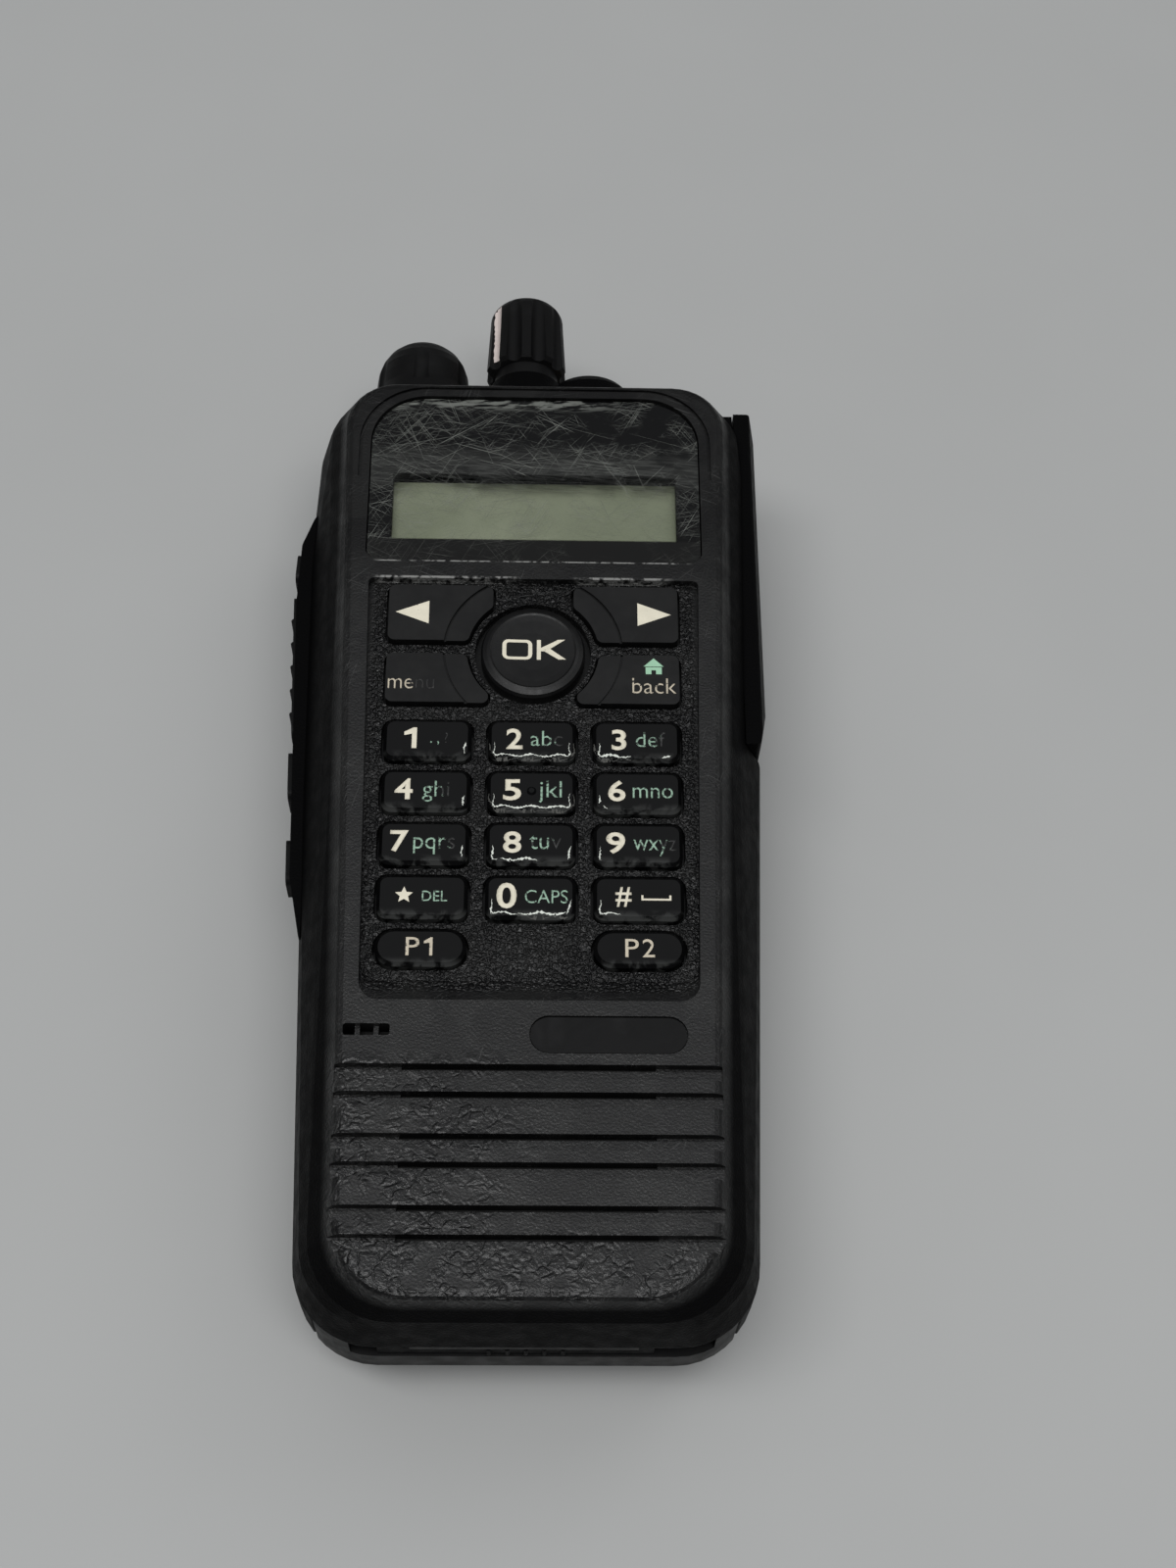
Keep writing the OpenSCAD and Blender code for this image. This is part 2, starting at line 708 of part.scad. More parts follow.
// Lower edges of the slots, from the top of the grille down
SLOTS = [for (g = [0:groups - 1], s = [0, 1]) grille_y - slot_h - g * group_pitch - s * pair_pitch];

module grille_cuts() {
    gap_d = 0.5; // how far the blind ends of the gaps reach below the louvres
    for (y = SLOTS) {
        translate([-grille_w / 2, y, body_t - slot_d]) cube([grille_w, slot_h, slot_d + 1]);
        translate([-grille_w / 2, y + slot_h - sound_gap, body_t - slot_d - gap_d])
            cube([grille_w, sound_gap, slot_d + 1]);
        translate([-pocket_w / 2 + 0.5, y + slot_h - sound_gap, z_skin])
            cube([pocket_w - 1, sound_gap, body_t]);
    }
}

module mic_slot() {
    rib = 0.6;
    rib_d = 1;
    difference() {
        translate([mic_x, mic_y, z_skin - skin]) linear_extrude(far) rounded(mic_w, mic_h, mic_h / 4);
        for (side = [-1, 1])
            translate([mic_x + side * mic_w / 5 - rib / 2, mic_y - mic_h, z_skin - skin])
                cube([rib, 2 * mic_h, body_t - rib_d - z_skin + skin]);
    }
}

// Bosses of the channel knob and the antenna, standing on the top end
module top_fitting() {
    boss_h = antenna_up - boss_lip;
    color("#1c1c1d") difference() {
        union() {
            on_axis(channel_x, top_y) cylinder(r1 = collar_r + 1.4, r2 = collar_r, h = collar_up);
            on_axis(antenna_x, top_y) cylinder(r1 = boss_base_r, r2 = boss_top_r + 0.6, h = boss_h);
            on_axis(antenna_x, top_y + boss_h) cylinder(r1 = boss_top_r + 0.6, r2 = boss_top_r - 0.5, h = boss_lip);
            // root that closes the end below the housing's edge
            intersection() {
                on_axis(antenna_x, top_y - boss_root) cylinder(r = boss_base_r, h = boss_root + slice);
                translate([-far / 2, -far, z_split - run - far]) cube([far, 2 * far, far]);
            }
        }
        on_axis(channel_x, top_y - 2) cylinder(r = bushing_r + fit, h = far);
        on_axis(channel_x, top_y + collar_up - nut_t - fit) cylinder(r = nut_r + run, h = far);
        on_axis(channel_x, top_y + collar_up) cylinder(r = neck_r + run + 0.2, h = far);
        on_axis(antenna_x, top_y - 2) cylinder(r = antenna_r + fit, h = far);
    }
}

module top_holes() {
    for (x = [volume_x, channel_x])
        on_axis(x, bushing_wall - 1) cylinder(r = bushing_r + fit, h = far);
    on_axis(volume_x, top_y - nut_t - fit) cylinder(r = nut_r + run, h = far);
    on_axis(antenna_x, bushing_wall - 1) cylinder(r = antenna_r + fit, h = far);
    translate([top_button_x, bushing_wall - 1, axis_z]) rotate([-90, 0, 0])
        cylinder(r = top_button_r + run, h = far);
    translate([led_x, bushing_wall - 1, led_z]) rotate([-90, 0, 0]) cylinder(r = led_r + fit, h = far);
}

// Openings in the left wall behind the side controls
module side_windows() {
    inner = wall + 2;
    on_lower_wall() wall_block(-bezel_t, inner, button_3[0] - 1.5, button_3[1] + 3, side_h + 2, 1.2);
    on_lower_wall() wall_block(-bezel_t, inner, button_2[0] - 1.5, button_2[1] + 3, side_h + 2, 1.2);
    on_lower_wall() wall_block(-bezel_t, inner, ptt_start - 1.3, ptt_l + 2.4, side_h + 2, 1.2);
    on_upper_wall() wall_block(-bezel_t, inner, button_1[0] - 1.3, button_1[1] + 3, side_h + 2, 1.2);
}

// Windows in the bottom end for the hooks of the battery latch
module hook_windows() {
    for (x = hook_x)
        translate([x - run, foot_y - 1, latch_z - hook_h / 2 - run])
            cube([hook_w + hook_tip + 2 * run, foot_t + 2 * wall, hook_h + 2 * run]);
}

module front_housing() {
    color("#1c1c1d") difference() {
        union() {
            difference() {
                union() {
                    housing_form();
                    translate([0, 0, z_crown - 1]) linear_extrude(panel_round + 1)
                        lens_outline(fit + bead_w);
                }
                translate([port_x, port_y, 0]) cube([far, far, cover_low + cover_d + 0.7]);
            }
            translate([port_x - port_in, port_y, z_split]) cube([port_in, top_y - port_end - port_y,
                                                                 z_rim - z_split - 0.3]);
        }
        housing_hollow();
        translate([-far / 2, -far, 0]) cube([far, far + seat_y, seat_z]);
        translate([-far / 2, -far / 2, z_split - far]) cube([far, far / 2 + top_y - head_end, far]);
        translate([0, 0, z_recess]) linear_extrude(far) recess_outline();
        hull() {
            translate([0, 0, z_recess]) linear_extrude(slice) recess_outline();
            translate([0, 0, body_t]) linear_extrude(slice) recess_outline(recess_ramp);
        }
        translate([0, 0, z_lens_seat]) linear_extrude(far) lens_outline(fit);
        translate([0, 0, body_t - bead_groove]) linear_extrude(far) difference() {
            lens_outline(fit + bead_w + bead_groove);
            lens_outline(fit + bead_w);
            translate([-far / 2, lens_y - lens_h / 2 - far]) square([far, far + lens_h / 2]);
        }
        translate([0, 0, z_skin - skin]) linear_extrude(far) lcd_field(window_margin);
        key_openings();
        translate([-pocket_w / 2, SLOTS[len(SLOTS) - 1] - 0.8, z_skin - 1])
            cube([pocket_w, grille_y - SLOTS[len(SLOTS) - 1] + 1.6, z_pocket - z_skin + 1]);
        grille_cuts();
        mic_slot();
        translate([plate_x, plate_y, body_t - plate_d]) linear_extrude(far)
            rounded(plate_w, plate_h, plate_h / 2 - 0.05);
        top_holes();
        side_windows();
        hook_windows();
        translate([port_x - wall - 1, connector_y, port_z]) rotate([90, 0, 90])
            linear_extrude(far) rounded(connector_l + 2 * fit, connector_h + 2 * fit, 1.5 + fit);
    }
}

module name_plate() {
    color("#222223") translate([plate_x, plate_y, body_t - plate_d]) linear_extrude(plate_d - 0.2)
        rounded(plate_w - 2 * fit, plate_h - 2 * fit, plate_h / 2 - 0.05 - fit);
}

// ---------- behind the front skin ----------

module pad_outline() {
    translate([-pad_w / 2, pad_y[0]]) square([pad_w, pad_y[1] - pad_y[0]]);
}

module keypad_membrane() {
    keys = concat([for (k = NUMBER_KEYS) number_place(k[1], k[2])], [for (k = PILL_KEYS) pill_place(k[1])],
                  [[0, ok_y, 0]],
                  [for (k = NAV_KEYS) [k[1] * nav_middle, ok_y + (k[2] ? arrow_up + arrow_h / 2
                                                                       : -soft_down - soft_h / 2), 0]]);
    color("#3a3a3a") {
        translate([0, 0, z_sheet - sheet_t]) linear_extrude(sheet_t) pad_outline();
        for (y = [pad_y[0], pad_y[1] - pad_rim])
            translate([-pad_w / 2, y, z_sheet - slice]) cube([pad_w, pad_rim, z_skin - z_sheet + slice]);
        for (p = keys)
            translate(p + [0, 0, z_sheet - slice])
                cylinder(r1 = pad_dome_r + 0.4, r2 = pad_dome_r, h = z_membrane - z_sheet + slice);
    }
}

module keypad_board() {
    hole_r = 1.1;
    color("#1f5a33") translate([0, 0, z_sheet - sheet_t - keypad_board_t]) linear_extrude(keypad_board_t)
        difference() {
            pad_outline();
            for (side = [-1, 1], row = [0.5, 2.5])
                translate([side * pitch_x / 2, row_y - row * pitch_y]) circle(r = hole_r);
        }
}

module speaker_mesh() {
    mesh_t = 0.4;
    last = SLOTS[len(SLOTS) - 1];
    color("#4a4a4a") translate([-pocket_w / 2 + fit, last - 0.8 + fit, z_pocket - mesh_t])
        cube([pocket_w - 2 * fit, grille_y - last + 1.6 - 2 * fit, mesh_t]);
}

module speaker_frame() {
    sheet = 0.9;
    color("#8d9196") translate([0, speaker_y, 0]) rotate_extrude() polygon([
        [speaker_r, z_skin], [speaker_r, flange_z], [basket_r, flange_z], [magnet_r, basket_z + sheet],
        [magnet_r, basket_z], [3.2, basket_z], [3.2, basket_z + sheet], [magnet_r - sheet, basket_z + sheet + 0.2],
        [basket_r - sheet, flange_z + 0.4], [basket_r - sheet, z_skin]]);
}

module speaker_cone() {
    sheet = 0.4;
    rim = basket_r - 0.9;
    color("#2a2622") translate([0, speaker_y, 0]) rotate_extrude() polygon([
        [rim, z_skin - 0.2], [rim - 1.2, z_skin + 0.2], [rim - 2.2, z_skin - 0.4], [4.5, basket_z + 3.4],
        [2.5, basket_z + 4.2], [0, basket_z + 4.5], [0, basket_z + 4.5 - sheet], [2.5, basket_z + 4.2 - sheet],
        [4.2, basket_z + 3.4 - sheet], [4.2, basket_z + 1.2], [4.8, basket_z + 1.2],
        [5, basket_z + 3.2], [rim - 2.2, z_skin - 0.4 - 2 * sheet], [rim, z_skin - 0.7]]);
}

module speaker_magnet() {
    color("#5b5e62") translate([0, speaker_y, basket_z - magnet_t]) cylinder(r = magnet_r, h = magnet_t);
}

module speaker_retainer() {
    strap_t = 0.8;
    strap_w = 7;
    leg_x = speaker_r + 2.4;
    z0 = basket_z - magnet_t - strap_t;
    color("#b8bcc0") translate([0, speaker_y, 0]) {
        translate([-leg_x, -strap_w / 2, z0]) cube([2 * leg_x, strap_w, strap_t]);
        for (side = [-1, 1])
            translate([side * (leg_x - strap_t / 2) - strap_t / 2, -strap_w / 2, z0])
                cube([strap_t, strap_w, z_skin - z0]);
    }
}

module microphone() {
    capsule_r = 2.2;
    boot_t = 0.6;
    color("#303030") translate([mic_x + 1.3, mic_y, z_skin]) {
        translate([0, 0, -boot_t]) cylinder(r = capsule_r + boot_t, h = boot_t);
        translate([0, 0, -2.6]) cylinder(r = capsule_r, h = 2.6);
    }
}

// Room behind the accessory port's connector
module connector_room() {
    l = connector_l + 4 * connector_rim + 2 * run;
    translate([port_x - wall - connector_lip - run, connector_y - l / 2]) square([far, l]);
}

module board_outline() {
    y0 = speaker_y + speaker_r + 3;
    difference() {
        intersection() {
            inner_plan(chassis_in + run + board_in);
            translate([-far / 2, y0]) square([far, battery_top - board_end - y0]);
        }
        connector_room();
    }
}

module main_board() {
    color("#1d5230") translate([0, 0, z_board]) linear_extrude(main_board_t) board_outline();
}

module rf_shields() {
    can_h = 2.8;
    upper = [36, 20];
    lower = [17, 28];
    gap = [5, 6];
    top = battery_top - board_end - 12.2;
    color("#c9ccd0") translate([0, top, z_board - can_h]) linear_extrude(can_h) {
        translate([0, -upper[1] / 2]) rounded(upper[0], upper[1], 1);
        for (side = [-1, 1])
            translate([side * (lower[0] + gap[0]) / 2, -upper[1] - gap[1] - lower[1] / 2])
                rounded(lower[0], lower[1], 1);
    }
}

// ---------- chassis ----------

// The block that closes the back above the battery
module head_form() {
    intersection() {
        hull() {
            translate([0, 0, head_z]) linear_extrude(slice) plan(girth, back_in);
            translate([0, 0, head_z + back_round]) linear_extrude(z_split - head_z - back_round)
                plan(girth, battery_in);
        }
        translate([-far / 2, head_y, 0]) cube([far, top_y - head_end - head_y, far]);
    }
}

module rail(clear = 0, run_out = 0) {
    for (side = [-1, 1]) {
        translate([side * rail_x - rail_w / 2 - clear, rail_y - clear, lip_z - clear])
            cube([rail_w + 2 * clear, rail_l + clear + run_out, lip_t + 2 * clear]);
        translate([side * rail_x - stem_w / 2 - clear, rail_y - clear, lip_z])
            cube([stem_w + 2 * clear, rail_l + clear + run_out, z_split - lip_z]);
    }
}

module chassis() {
    tip_bay = hook_x[1] + hook_w + hook_tip + latch_travel + 1;
    color("#8f9396") difference() {
        union() {
            translate([0, 0, z_split]) linear_extrude(floor_t) inner_plan(chassis_in);
            translate([0, 0, z_split]) linear_extrude(z_board - z_split) difference() {
                inner_plan(chassis_in);
                inner_plan(chassis_in + chassis_wall);
            }
            head_form();
            rail();
        }
        // groove of the main seal
        translate([0, 0, seal_z]) linear_extrude(seal_t) difference() {
            inner_plan(wall - 1);
            inner_plan(chassis_in + seal_d);
        }
        // room for the control switches in the head
        translate([-half_w + wall + 5, head_y + head_wall, head_z + head_floor])
            cube([body_w - 2 * wall - 10, bushing_wall - head_y - head_wall, far]);
        // room for the side switch board and for the latch hooks
        on_lower_wall() translate([0, button_3[0] - 4, z_chassis - 0.4])
            cube([wall + 1.8, -button_3[0] + 4, far]);
        on_upper_wall() translate([0, -1, z_chassis - 0.4]) cube([wall + 1.8, button_1[0] + button_1[1] + 5, far]);
        translate([-tip_bay, foot_y, z_chassis]) cube([2 * tip_bay, foot_t + wall + 5, far]);
        translate([0, 0, port_z - connector_h / 2 - connector_rim - run]) linear_extrude(far) connector_room();
        // screw seats under the head
        for (side = [-1, 1])
            translate([side * screw_x, head_y + screw_up, head_z - 1])
                cylinder(r = screw_head_r + fit, h = screw_d + 1);
    }
}

module chassis_screws() {
    color("#9a9da0")
        for (side = [-1, 1])
            translate([side * screw_x, head_y + screw_up, head_z + screw_d - screw_t])
                cylinder(r = screw_head_r, h = screw_t);
}

module main_seal() {
    color("#4b2c20") translate([0, 0, seal_z]) linear_extrude(seal_t) difference() {
        inner_plan(wall);
        inner_plan(chassis_in + seal_d);
    }
}

module radio_contacts() {
    color("#d0a94e")
        for (i = [0:contacts - 1])
            translate([(i - (contacts - 1) / 2) * contact_pitch, contact_y, z_split]) rotate([90, 0, 0])
                translate([0, 0, -contact_l / 2]) intersection() {
                    cylinder(r = contact_h, h = contact_l);
                    translate([-contact_w / 2, -contact_h, 0]) cube([contact_w, contact_h, contact_l]);
                }
}

// ---------- top controls ----------

module switch_unit(x, reach) {
    color("#3d3f42") difference() {
        union() {
            translate([x - switch_w / 2, bushing_wall - switch_l, axis_z - switch_down])
                cube([switch_w, switch_l - wall_lean, switch_down + switch_up]);
            on_axis(x, bushing_wall - wall_lean - slice)
                cylinder(r = bushing_r, h = wall_lean + slice + wall + reach - fit);
            on_axis(x, top_y + reach - nut_t - fit) cylinder(r = nut_r, h = nut_t, $fn = 6);
        }
        on_axis(x, bushing_wall - switch_l + shaft_root - run) cylinder(r = shaft_r + shaft_play, h = far);
    }
}

module volume_switch() {
    switch_unit(volume_x, 0);
}

module channel_switch() {
    switch_unit(channel_x, collar_up);
}

module antenna_bushing() {
    root = 0.1;     // start of the bushing outside the end wall's inner face
    color("#c9a75c") on_axis(antenna_x, bushing_wall + root) difference() {
        cylinder(r = antenna_r, h = wall + antenna_up - root - 0.3);
        translate([0, 0, wall - root + 0.2]) cylinder(r = antenna_bore_r, h = far);
    }
}

module led_lens() {
    color("#c8d2cf") translate([led_x, bushing_wall - 1.5 - wall_lean, led_z]) rotate([-90, 0, 0]) {
        cylinder(r = led_r, h = 1.5 + wall_lean + wall + 0.2);
        cylinder(r = led_r + 0.8, h = 1.5);
    }
}

// Profile of a knob's dome: a quarter ellipse from radius r at height h - d down to the middle
function dome(r, h, d, flat) = [for (a = [0:15:90]) [flat + (r - flat) * cos(a), h - d + d * sin(a)]];

module volume_knob() {
    h = volume_h - run;
    color("#1a1a1a") on_axis(volume_x, top_y + run) difference() {
        rotate_extrude($fn = 96) polygon(concat(
            [[0, 0], [volume_r - 0.3, 0], [volume_r, 0.4], [volume_r - 0.15, 4.4], [volume_r - 0.7, 7.2]],
            dome(volume_r - 0.8, h, 6.0, 2.4), [[0, h]]));
        translate([0, 0, -1]) cylinder(r = shaft_r, h = h - knob_cap);
        translate([0, 0, -1]) cylinder(r = nut_r + run, h = 1.6);
        for (i = [0:volume_flutes - 1])
            rotate([0, 0, (i + 0.5) * 360 / volume_flutes])
                translate([volume_r + 0.35, 0, 6.2]) cylinder(r1 = 1.5, r2 = 2.2, h = h);
    }
}

module volume_shaft() {
    y0 = bushing_wall - switch_l + shaft_root;
    color("#a8abae") on_axis(volume_x, y0)
        cylinder(r = shaft_r, h = top_y + volume_h - knob_cap - 1 - y0);
}

module channel_knob() {
    h = neck_h + channel_h;
    color("#1a1a1a") on_axis(channel_x, neck_y) difference() {
        rotate_extrude($fn = 96) polygon(concat(
            [[0, 0], [neck_r, 0], [neck_r, neck_h - 0.2], [channel_r - 0.5, neck_h], [channel_r, neck_h + 0.5]],
            dome(channel_r - 0.5, h, 2.6, 2.6), [[0, h]]));
        translate([0, 0, -1]) cylinder(r = shaft_r, h = h - knob_cap);
        for (i = [0:channel_flutes - 1])
            rotate([0, 0, i * 360 / channel_flutes])
                translate([channel_r + 0.25, 0, neck_h - 0.5]) cylinder(r = 1.25, h = h);
    }
}

module channel_shaft() {
    y0 = bushing_wall - switch_l + shaft_root;
    color("#a8abae") on_axis(channel_x, y0)
        cylinder(r = shaft_r, h = neck_y + neck_h + channel_h - knob_cap - 1 - y0);
}

module top_button() {
    color("#26262a") translate([top_button_x, top_y, axis_z]) rotate([-90, 0, 0]) {
        translate([0, 0, -wall - 1.2]) cylinder(r = top_button_r, h = wall + 0.8 + top_button_out);
        translate([0, 0, top_button_out - 0.4]) cylinder(r1 = top_button_r, r2 = top_button_r - 0.4, h = 0.4);
        translate([0, 0, -wall - 0.9]) cylinder(r = top_button_r + 0.8, h = 0.8);
    }
}

// ---------- side controls ----------

// Room behind the bezel for a button's flange
module flange_room(start, length) {
    spread = side_flange_w + run;
    wall_block(-0.1, wall, start - spread, length + 2 * spread, side_h + 2 * spread, 1.2);
}
module side_bezel() {
    low = button_3[0] - bezel_end;
    high = button_1[0] + button_1[1] + bezel_end / 2;
    bar = 1.5;      // radius of the bezel's ends, hidden in the wall
    color("#19191a") difference() {
        translate([0, 0, side_z - bezel_h / 2]) linear_extrude(bezel_h) hull() {
            translate([-(half_w - shoulder_r), shoulder_y]) circle(r = shoulder_r + bezel_t - 0.1, $fn = 96);
            on_lower_wall() translate([bar, low]) circle(r = bar, $fn = corner_fn);
            on_lower_wall() translate([bar - bezel_t, low + bezel_end]) circle(r = bar, $fn = corner_fn);
            on_upper_wall() translate([bar - bezel_t, high - bezel_end / 2]) circle(r = bar, $fn = corner_fn);
            on_upper_wall() translate([bar, high]) circle(r = bar, $fn = corner_fn);
        }
        housing_form();
        translate([wall - half_w, -far, 0]) cube([far, 2 * far, far]);
        on_lower_wall() flange_room(button_3[0], button_3[1]);
        on_lower_wall() flange_room(button_2[0], button_2[1]);
        on_lower_wall() flange_room(ptt_start, ptt_l);
        on_upper_wall() flange_room(button_1[0], button_1[1]);
        on_lower_wall() wall_block(-far / 4, wall, button_3[0] - run, button_3[1] + 2 * run, side_h + 2 * run, 1.2);
        on_lower_wall() wall_block(-far / 4, wall, button_2[0] - run, button_2[1] + 2 * run, side_h + 2 * run, 1.2);
        on_lower_wall() wall_block(-far / 4, wall, ptt_start - run, ptt_l + 2 * run, side_h + 2 * run, 1.6);
        on_upper_wall() wall_block(-far / 4, wall, button_1[0] - run, button_1[1] + 2 * run, side_h + 2 * run, 1.2);
    }
}

module side_button(start, length) {
    flange = side_flange_w;
    wall_block(-bezel_t - side_out, 0.1, start, length, side_h, 1);
    wall_block(0.05, 0.05 + side_flange_t, start - flange, length + 2 * flange, side_h + 2 * flange, 1);
}

module side_button_1() {
    color("#151516") on_upper_wall() side_button(button_1[0], button_1[1]);
}

module side_button_2() {
    color("#151516") on_lower_wall() side_button(button_2[0], button_2[1]);
}

module side_button_3() {
    color("#151516") on_lower_wall() side_button(button_3[0], button_3[1]);
}

module ptt_button() {
    ribs = 5;
    rib_out = 0.4;
    flange = side_flange_w;
    color("#151516") on_lower_wall() {
        wall_block(-bezel_t - ptt_out + rib_out, 0.1, ptt_start, ptt_l, side_h, 1.4);
        wall_block(0.05, 0.05 + side_flange_t, ptt_start - flange, ptt_l + 2 * flange, side_h + 2 * flange, 1.4);
        for (i = [0:ribs - 1])
            translate([-bezel_t - ptt_out + rib_out, ptt_start + ptt_l * (i + 1) / (ribs + 1), side_z - side_h / 2 + 1])
                scale(1) cylinder(r = rib_out, h = side_h - 2, $fn = 24);
    }
}

module side_switch_board() {
    on_wall_t = 0.8;
    color("#b07a2a") {
        on_lower_wall() {
            wall_block(wall, wall + switch_t, button_3[0] - 2.5, -button_3[0] + 2.5, side_h - 0.4, 1);
            for (y = [button_3[0] + button_3[1] / 2, button_2[0] + button_2[1] / 2, ptt_start + ptt_l / 2])
                translate([wall - dome_h, y, side_z]) rotate([0, 90, 0]) cylinder(r = dome_r, h = dome_h + 0.1);
        }
        on_upper_wall() {
            wall_block(wall, wall + switch_t, -1.5, button_1[0] + button_1[1] + 4, side_h - 0.4, 1);
            translate([wall - dome_h, button_1[0] + button_1[1] / 2, side_z]) rotate([0, 90, 0])
                cylinder(r = dome_r, h = dome_h + 0.1);
        }
    }
}

// ---------- accessory port ----------

module accessory_connector() {
    pad_r = 0.55;
    pads = 6;
    pad_step = 2.4;
    color("#2c2c2e") difference() {
        union() {
            translate([port_x - connector_t, connector_y, port_z]) rotate([90, 0, 90])
                linear_extrude(connector_t) rounded(connector_l, connector_h, 1.5);
            translate([port_x - wall - connector_lip, connector_y, port_z]) rotate([90, 0, 90])
                linear_extrude(connector_lip)
                    rounded(connector_l + 4 * connector_rim, connector_h + 2 * connector_rim, 1.5);
        }
        for (i = [0:pads - 1], row = [-1, 1])
            translate([port_x - 0.4, connector_y + (i - (pads - 1) / 2) * pad_step - 3, port_z + row * 1.6])
                rotate([0, 90, 0]) cylinder(r = pad_r, h = 1);
        translate([port_x - 1.6, connector_y + connector_l / 2 - 3.4, port_z]) rotate([0, 90, 0])
            cylinder(r = 1.8, h = 2);
    }
}

module connector_cover() {
    x0 = port_x + 0.5 * run;
    x1 = half_w + cover_out;
    y0 = port_y + run;
    y1 = y0 + cover_l;
    tip = 7.5;      // length of the slanted lower end
    tip_in = 1.9;   // its round end's middle, from the outer face
    tip_r = 0.6;
    edge = 0.8;
    ridge = 0.4;
    slope_z = cover_d - (z_rim - z_girth);
    color("#1a1a1a") difference() {
        intersection() {
            translate([0, 0, cover_low]) union() {
                linear_extrude(cover_d)
                    polygon([[x0, y0], [x1 - tip_in, y0], [x1 - tip_in + tip_r, y0 + tip_r],
                             [x1, y0 + tip], [x1, y1 - edge], [x1 - edge, y1], [x0, y1]]);
                translate([x1 - tip_in, y0 + tip_r, 0]) cylinder(r = tip_r, h = cover_d);
            }
            translate([0, y1 + 1, cover_low]) rotate([90, 0, 0]) linear_extrude(cover_l + 2)
                polygon([[x0 - 1, 0], [x1 - 0.4, 0], [x1, 0.4], [x1, slope_z], [x1 - cover_slope, cover_d - 0.3],
                         [x1 - cover_slope - 0.3, cover_d], [x0 - 1, cover_d]]);
        }
        for (z = [2.4, slope_z - 2.4])
            translate([x1 - ridge, y0 + tip + 3, cover_low + z]) cube([far, cover_l - tip - 6, 0.8]);
    }
}

// ---------- battery ----------

module battery_form() {
    intersection() {
        hull() {
            discs(raised_foot(drawn_in(girth, back_in, slice), battery_slope));
            discs(raised_foot(drawn_in(girth, battery_in, back_round), 0.7 * battery_slope));
            discs(drawn_in(girth, battery_in, battery_t - 3));
            discs(drawn_in(girth, battery_in, battery_t));
        }
        translate([-far / 2, -far, -1]) cube([far, far + battery_top, far]);
    }
}

module belt_clip_slot() {
    translate([-clip_w / 2, battery_top - clip_l, -1]) cube([clip_w, far, clip_d + 1]);
    translate([-clip_w / 2 - clip_lip, battery_top - clip_l, clip_d / 2])
        cube([clip_w + 2 * clip_lip, far, clip_d / 2]);
}

module battery_cover() {
    color("#1a1a1b") difference() {
        intersection() {
            battery_form();
            translate([-far / 2, -far / 2, 0]) cube([far, far, cover_z]);
        }
        belt_clip_slot();
    }
}

module cell_space(clear) {
    for (side = [-1, 1], end = [-1, 1])
        translate([side * (cell_w + cells_gap) / 2 - cell_w / 2 - clear,
                   foot_y + foot_t + battery_l / 2 + end * (cell_l + cells_gap) / 2 - cell_l / 2 - clear, cover_z])
            cube([cell_w + 2 * clear, cell_l + 2 * clear, cell_z - cover_z - 0.3 + clear]);
}

module battery_cells() {
    color("#3f6f8f") cell_space(0);
}

module battery_case() {
    wall_y = foot_y + foot_t;
    pocket_d = latch_t + 0.35 + run;
    color("#1b1b1c") difference() {
        union() {
            intersection() {
                battery_form();
                translate([-far / 2, -far / 2, cover_z]) cube([far, far, far]);
            }
            translate([0, 0, battery_t - 2]) linear_extrude(foot_h - battery_t + 2) intersection() {
                plan(girth, 0.1);
                translate([-far / 2, -far]) square([far, far + wall_y]);
            }
        }
        cell_space(0.3);
        rail(run, far);
        translate([-groove_w / 2, contact_y - contact_l / 2 - run - 1, battery_t - contact_h - run])
            cube([groove_w, far, far]);
        // windows and pocket of the latch
        for (x = bay_x)
            translate([x[0], foot_y - 1, latch_z - latch_h / 2 - run])
                cube([x[1] - x[0], foot_t + 1 + fit, far]);
        translate([hook_x[0] - run, foot_y - 1, latch_z - latch_h / 2 - run])
            cube([hook_x[1] + hook_w - hook_x[0] + latch_travel + 2 * run, 1 + pocket_d, latch_h + 2 * run]);
    }
}

module battery_latch() {
    ribs = 5;
    y0 = foot_y + 0.35;
    hook_y = seat_y + wall + run;
    color("#2a2a2b") {
        translate([hook_x[0], y0, latch_z - latch_h / 2])
            cube([hook_x[1] + hook_w - hook_x[0], latch_t, latch_h]);
        for (i = [0:ribs - 1])
            translate([(i - (ribs - 1) / 2) * 2.2, y0, latch_z - latch_h / 2 + 0.3])
                cylinder(r = 0.3, h = latch_h - 0.6, $fn = 24);
        for (x = hook_x) {
            translate([x, y0 + latch_t / 2, latch_z - hook_h / 2])
                cube([hook_w, hook_y + hook_t - y0 - latch_t / 2, hook_h]);
            translate([x, hook_y, latch_z - hook_h / 2]) cube([hook_w + hook_tip, hook_t, hook_h]);
        }
    }
}

front_housing();
display_lens();
lens_gasket();
lcd_module();
keypad_membrane();
keypad_board();
speaker_mesh();
speaker_frame();
speaker_cone();
speaker_magnet();
speaker_retainer();
microphone();
chassis();
main_seal();
main_board();
rf_shields();
volume_switch();
channel_switch();
top_fitting();
antenna_bushing();
led_lens();
side_bezel();
side_switch_board();
accessory_connector();
radio_contacts();
chassis_screws();
name_plate();
volume_knob();
volume_shaft();
channel_knob();
channel_shaft();
for (k = NUMBER_KEYS)
    number_key(k[1], k[2]);
for (k = PILL_KEYS)
    pill_key(k[1]);
ok_key();  // key_ok
for (k = NAV_KEYS)
    nav_key(k[1], k[2]);
ptt_button();
side_button_1();
side_button_2();
side_button_3();
top_button();
battery_case();
battery_cover();
battery_cells();
battery_latch();
connector_cover();
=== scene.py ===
"""The two way radio: finishes, lettering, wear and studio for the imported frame."""
import math
import random

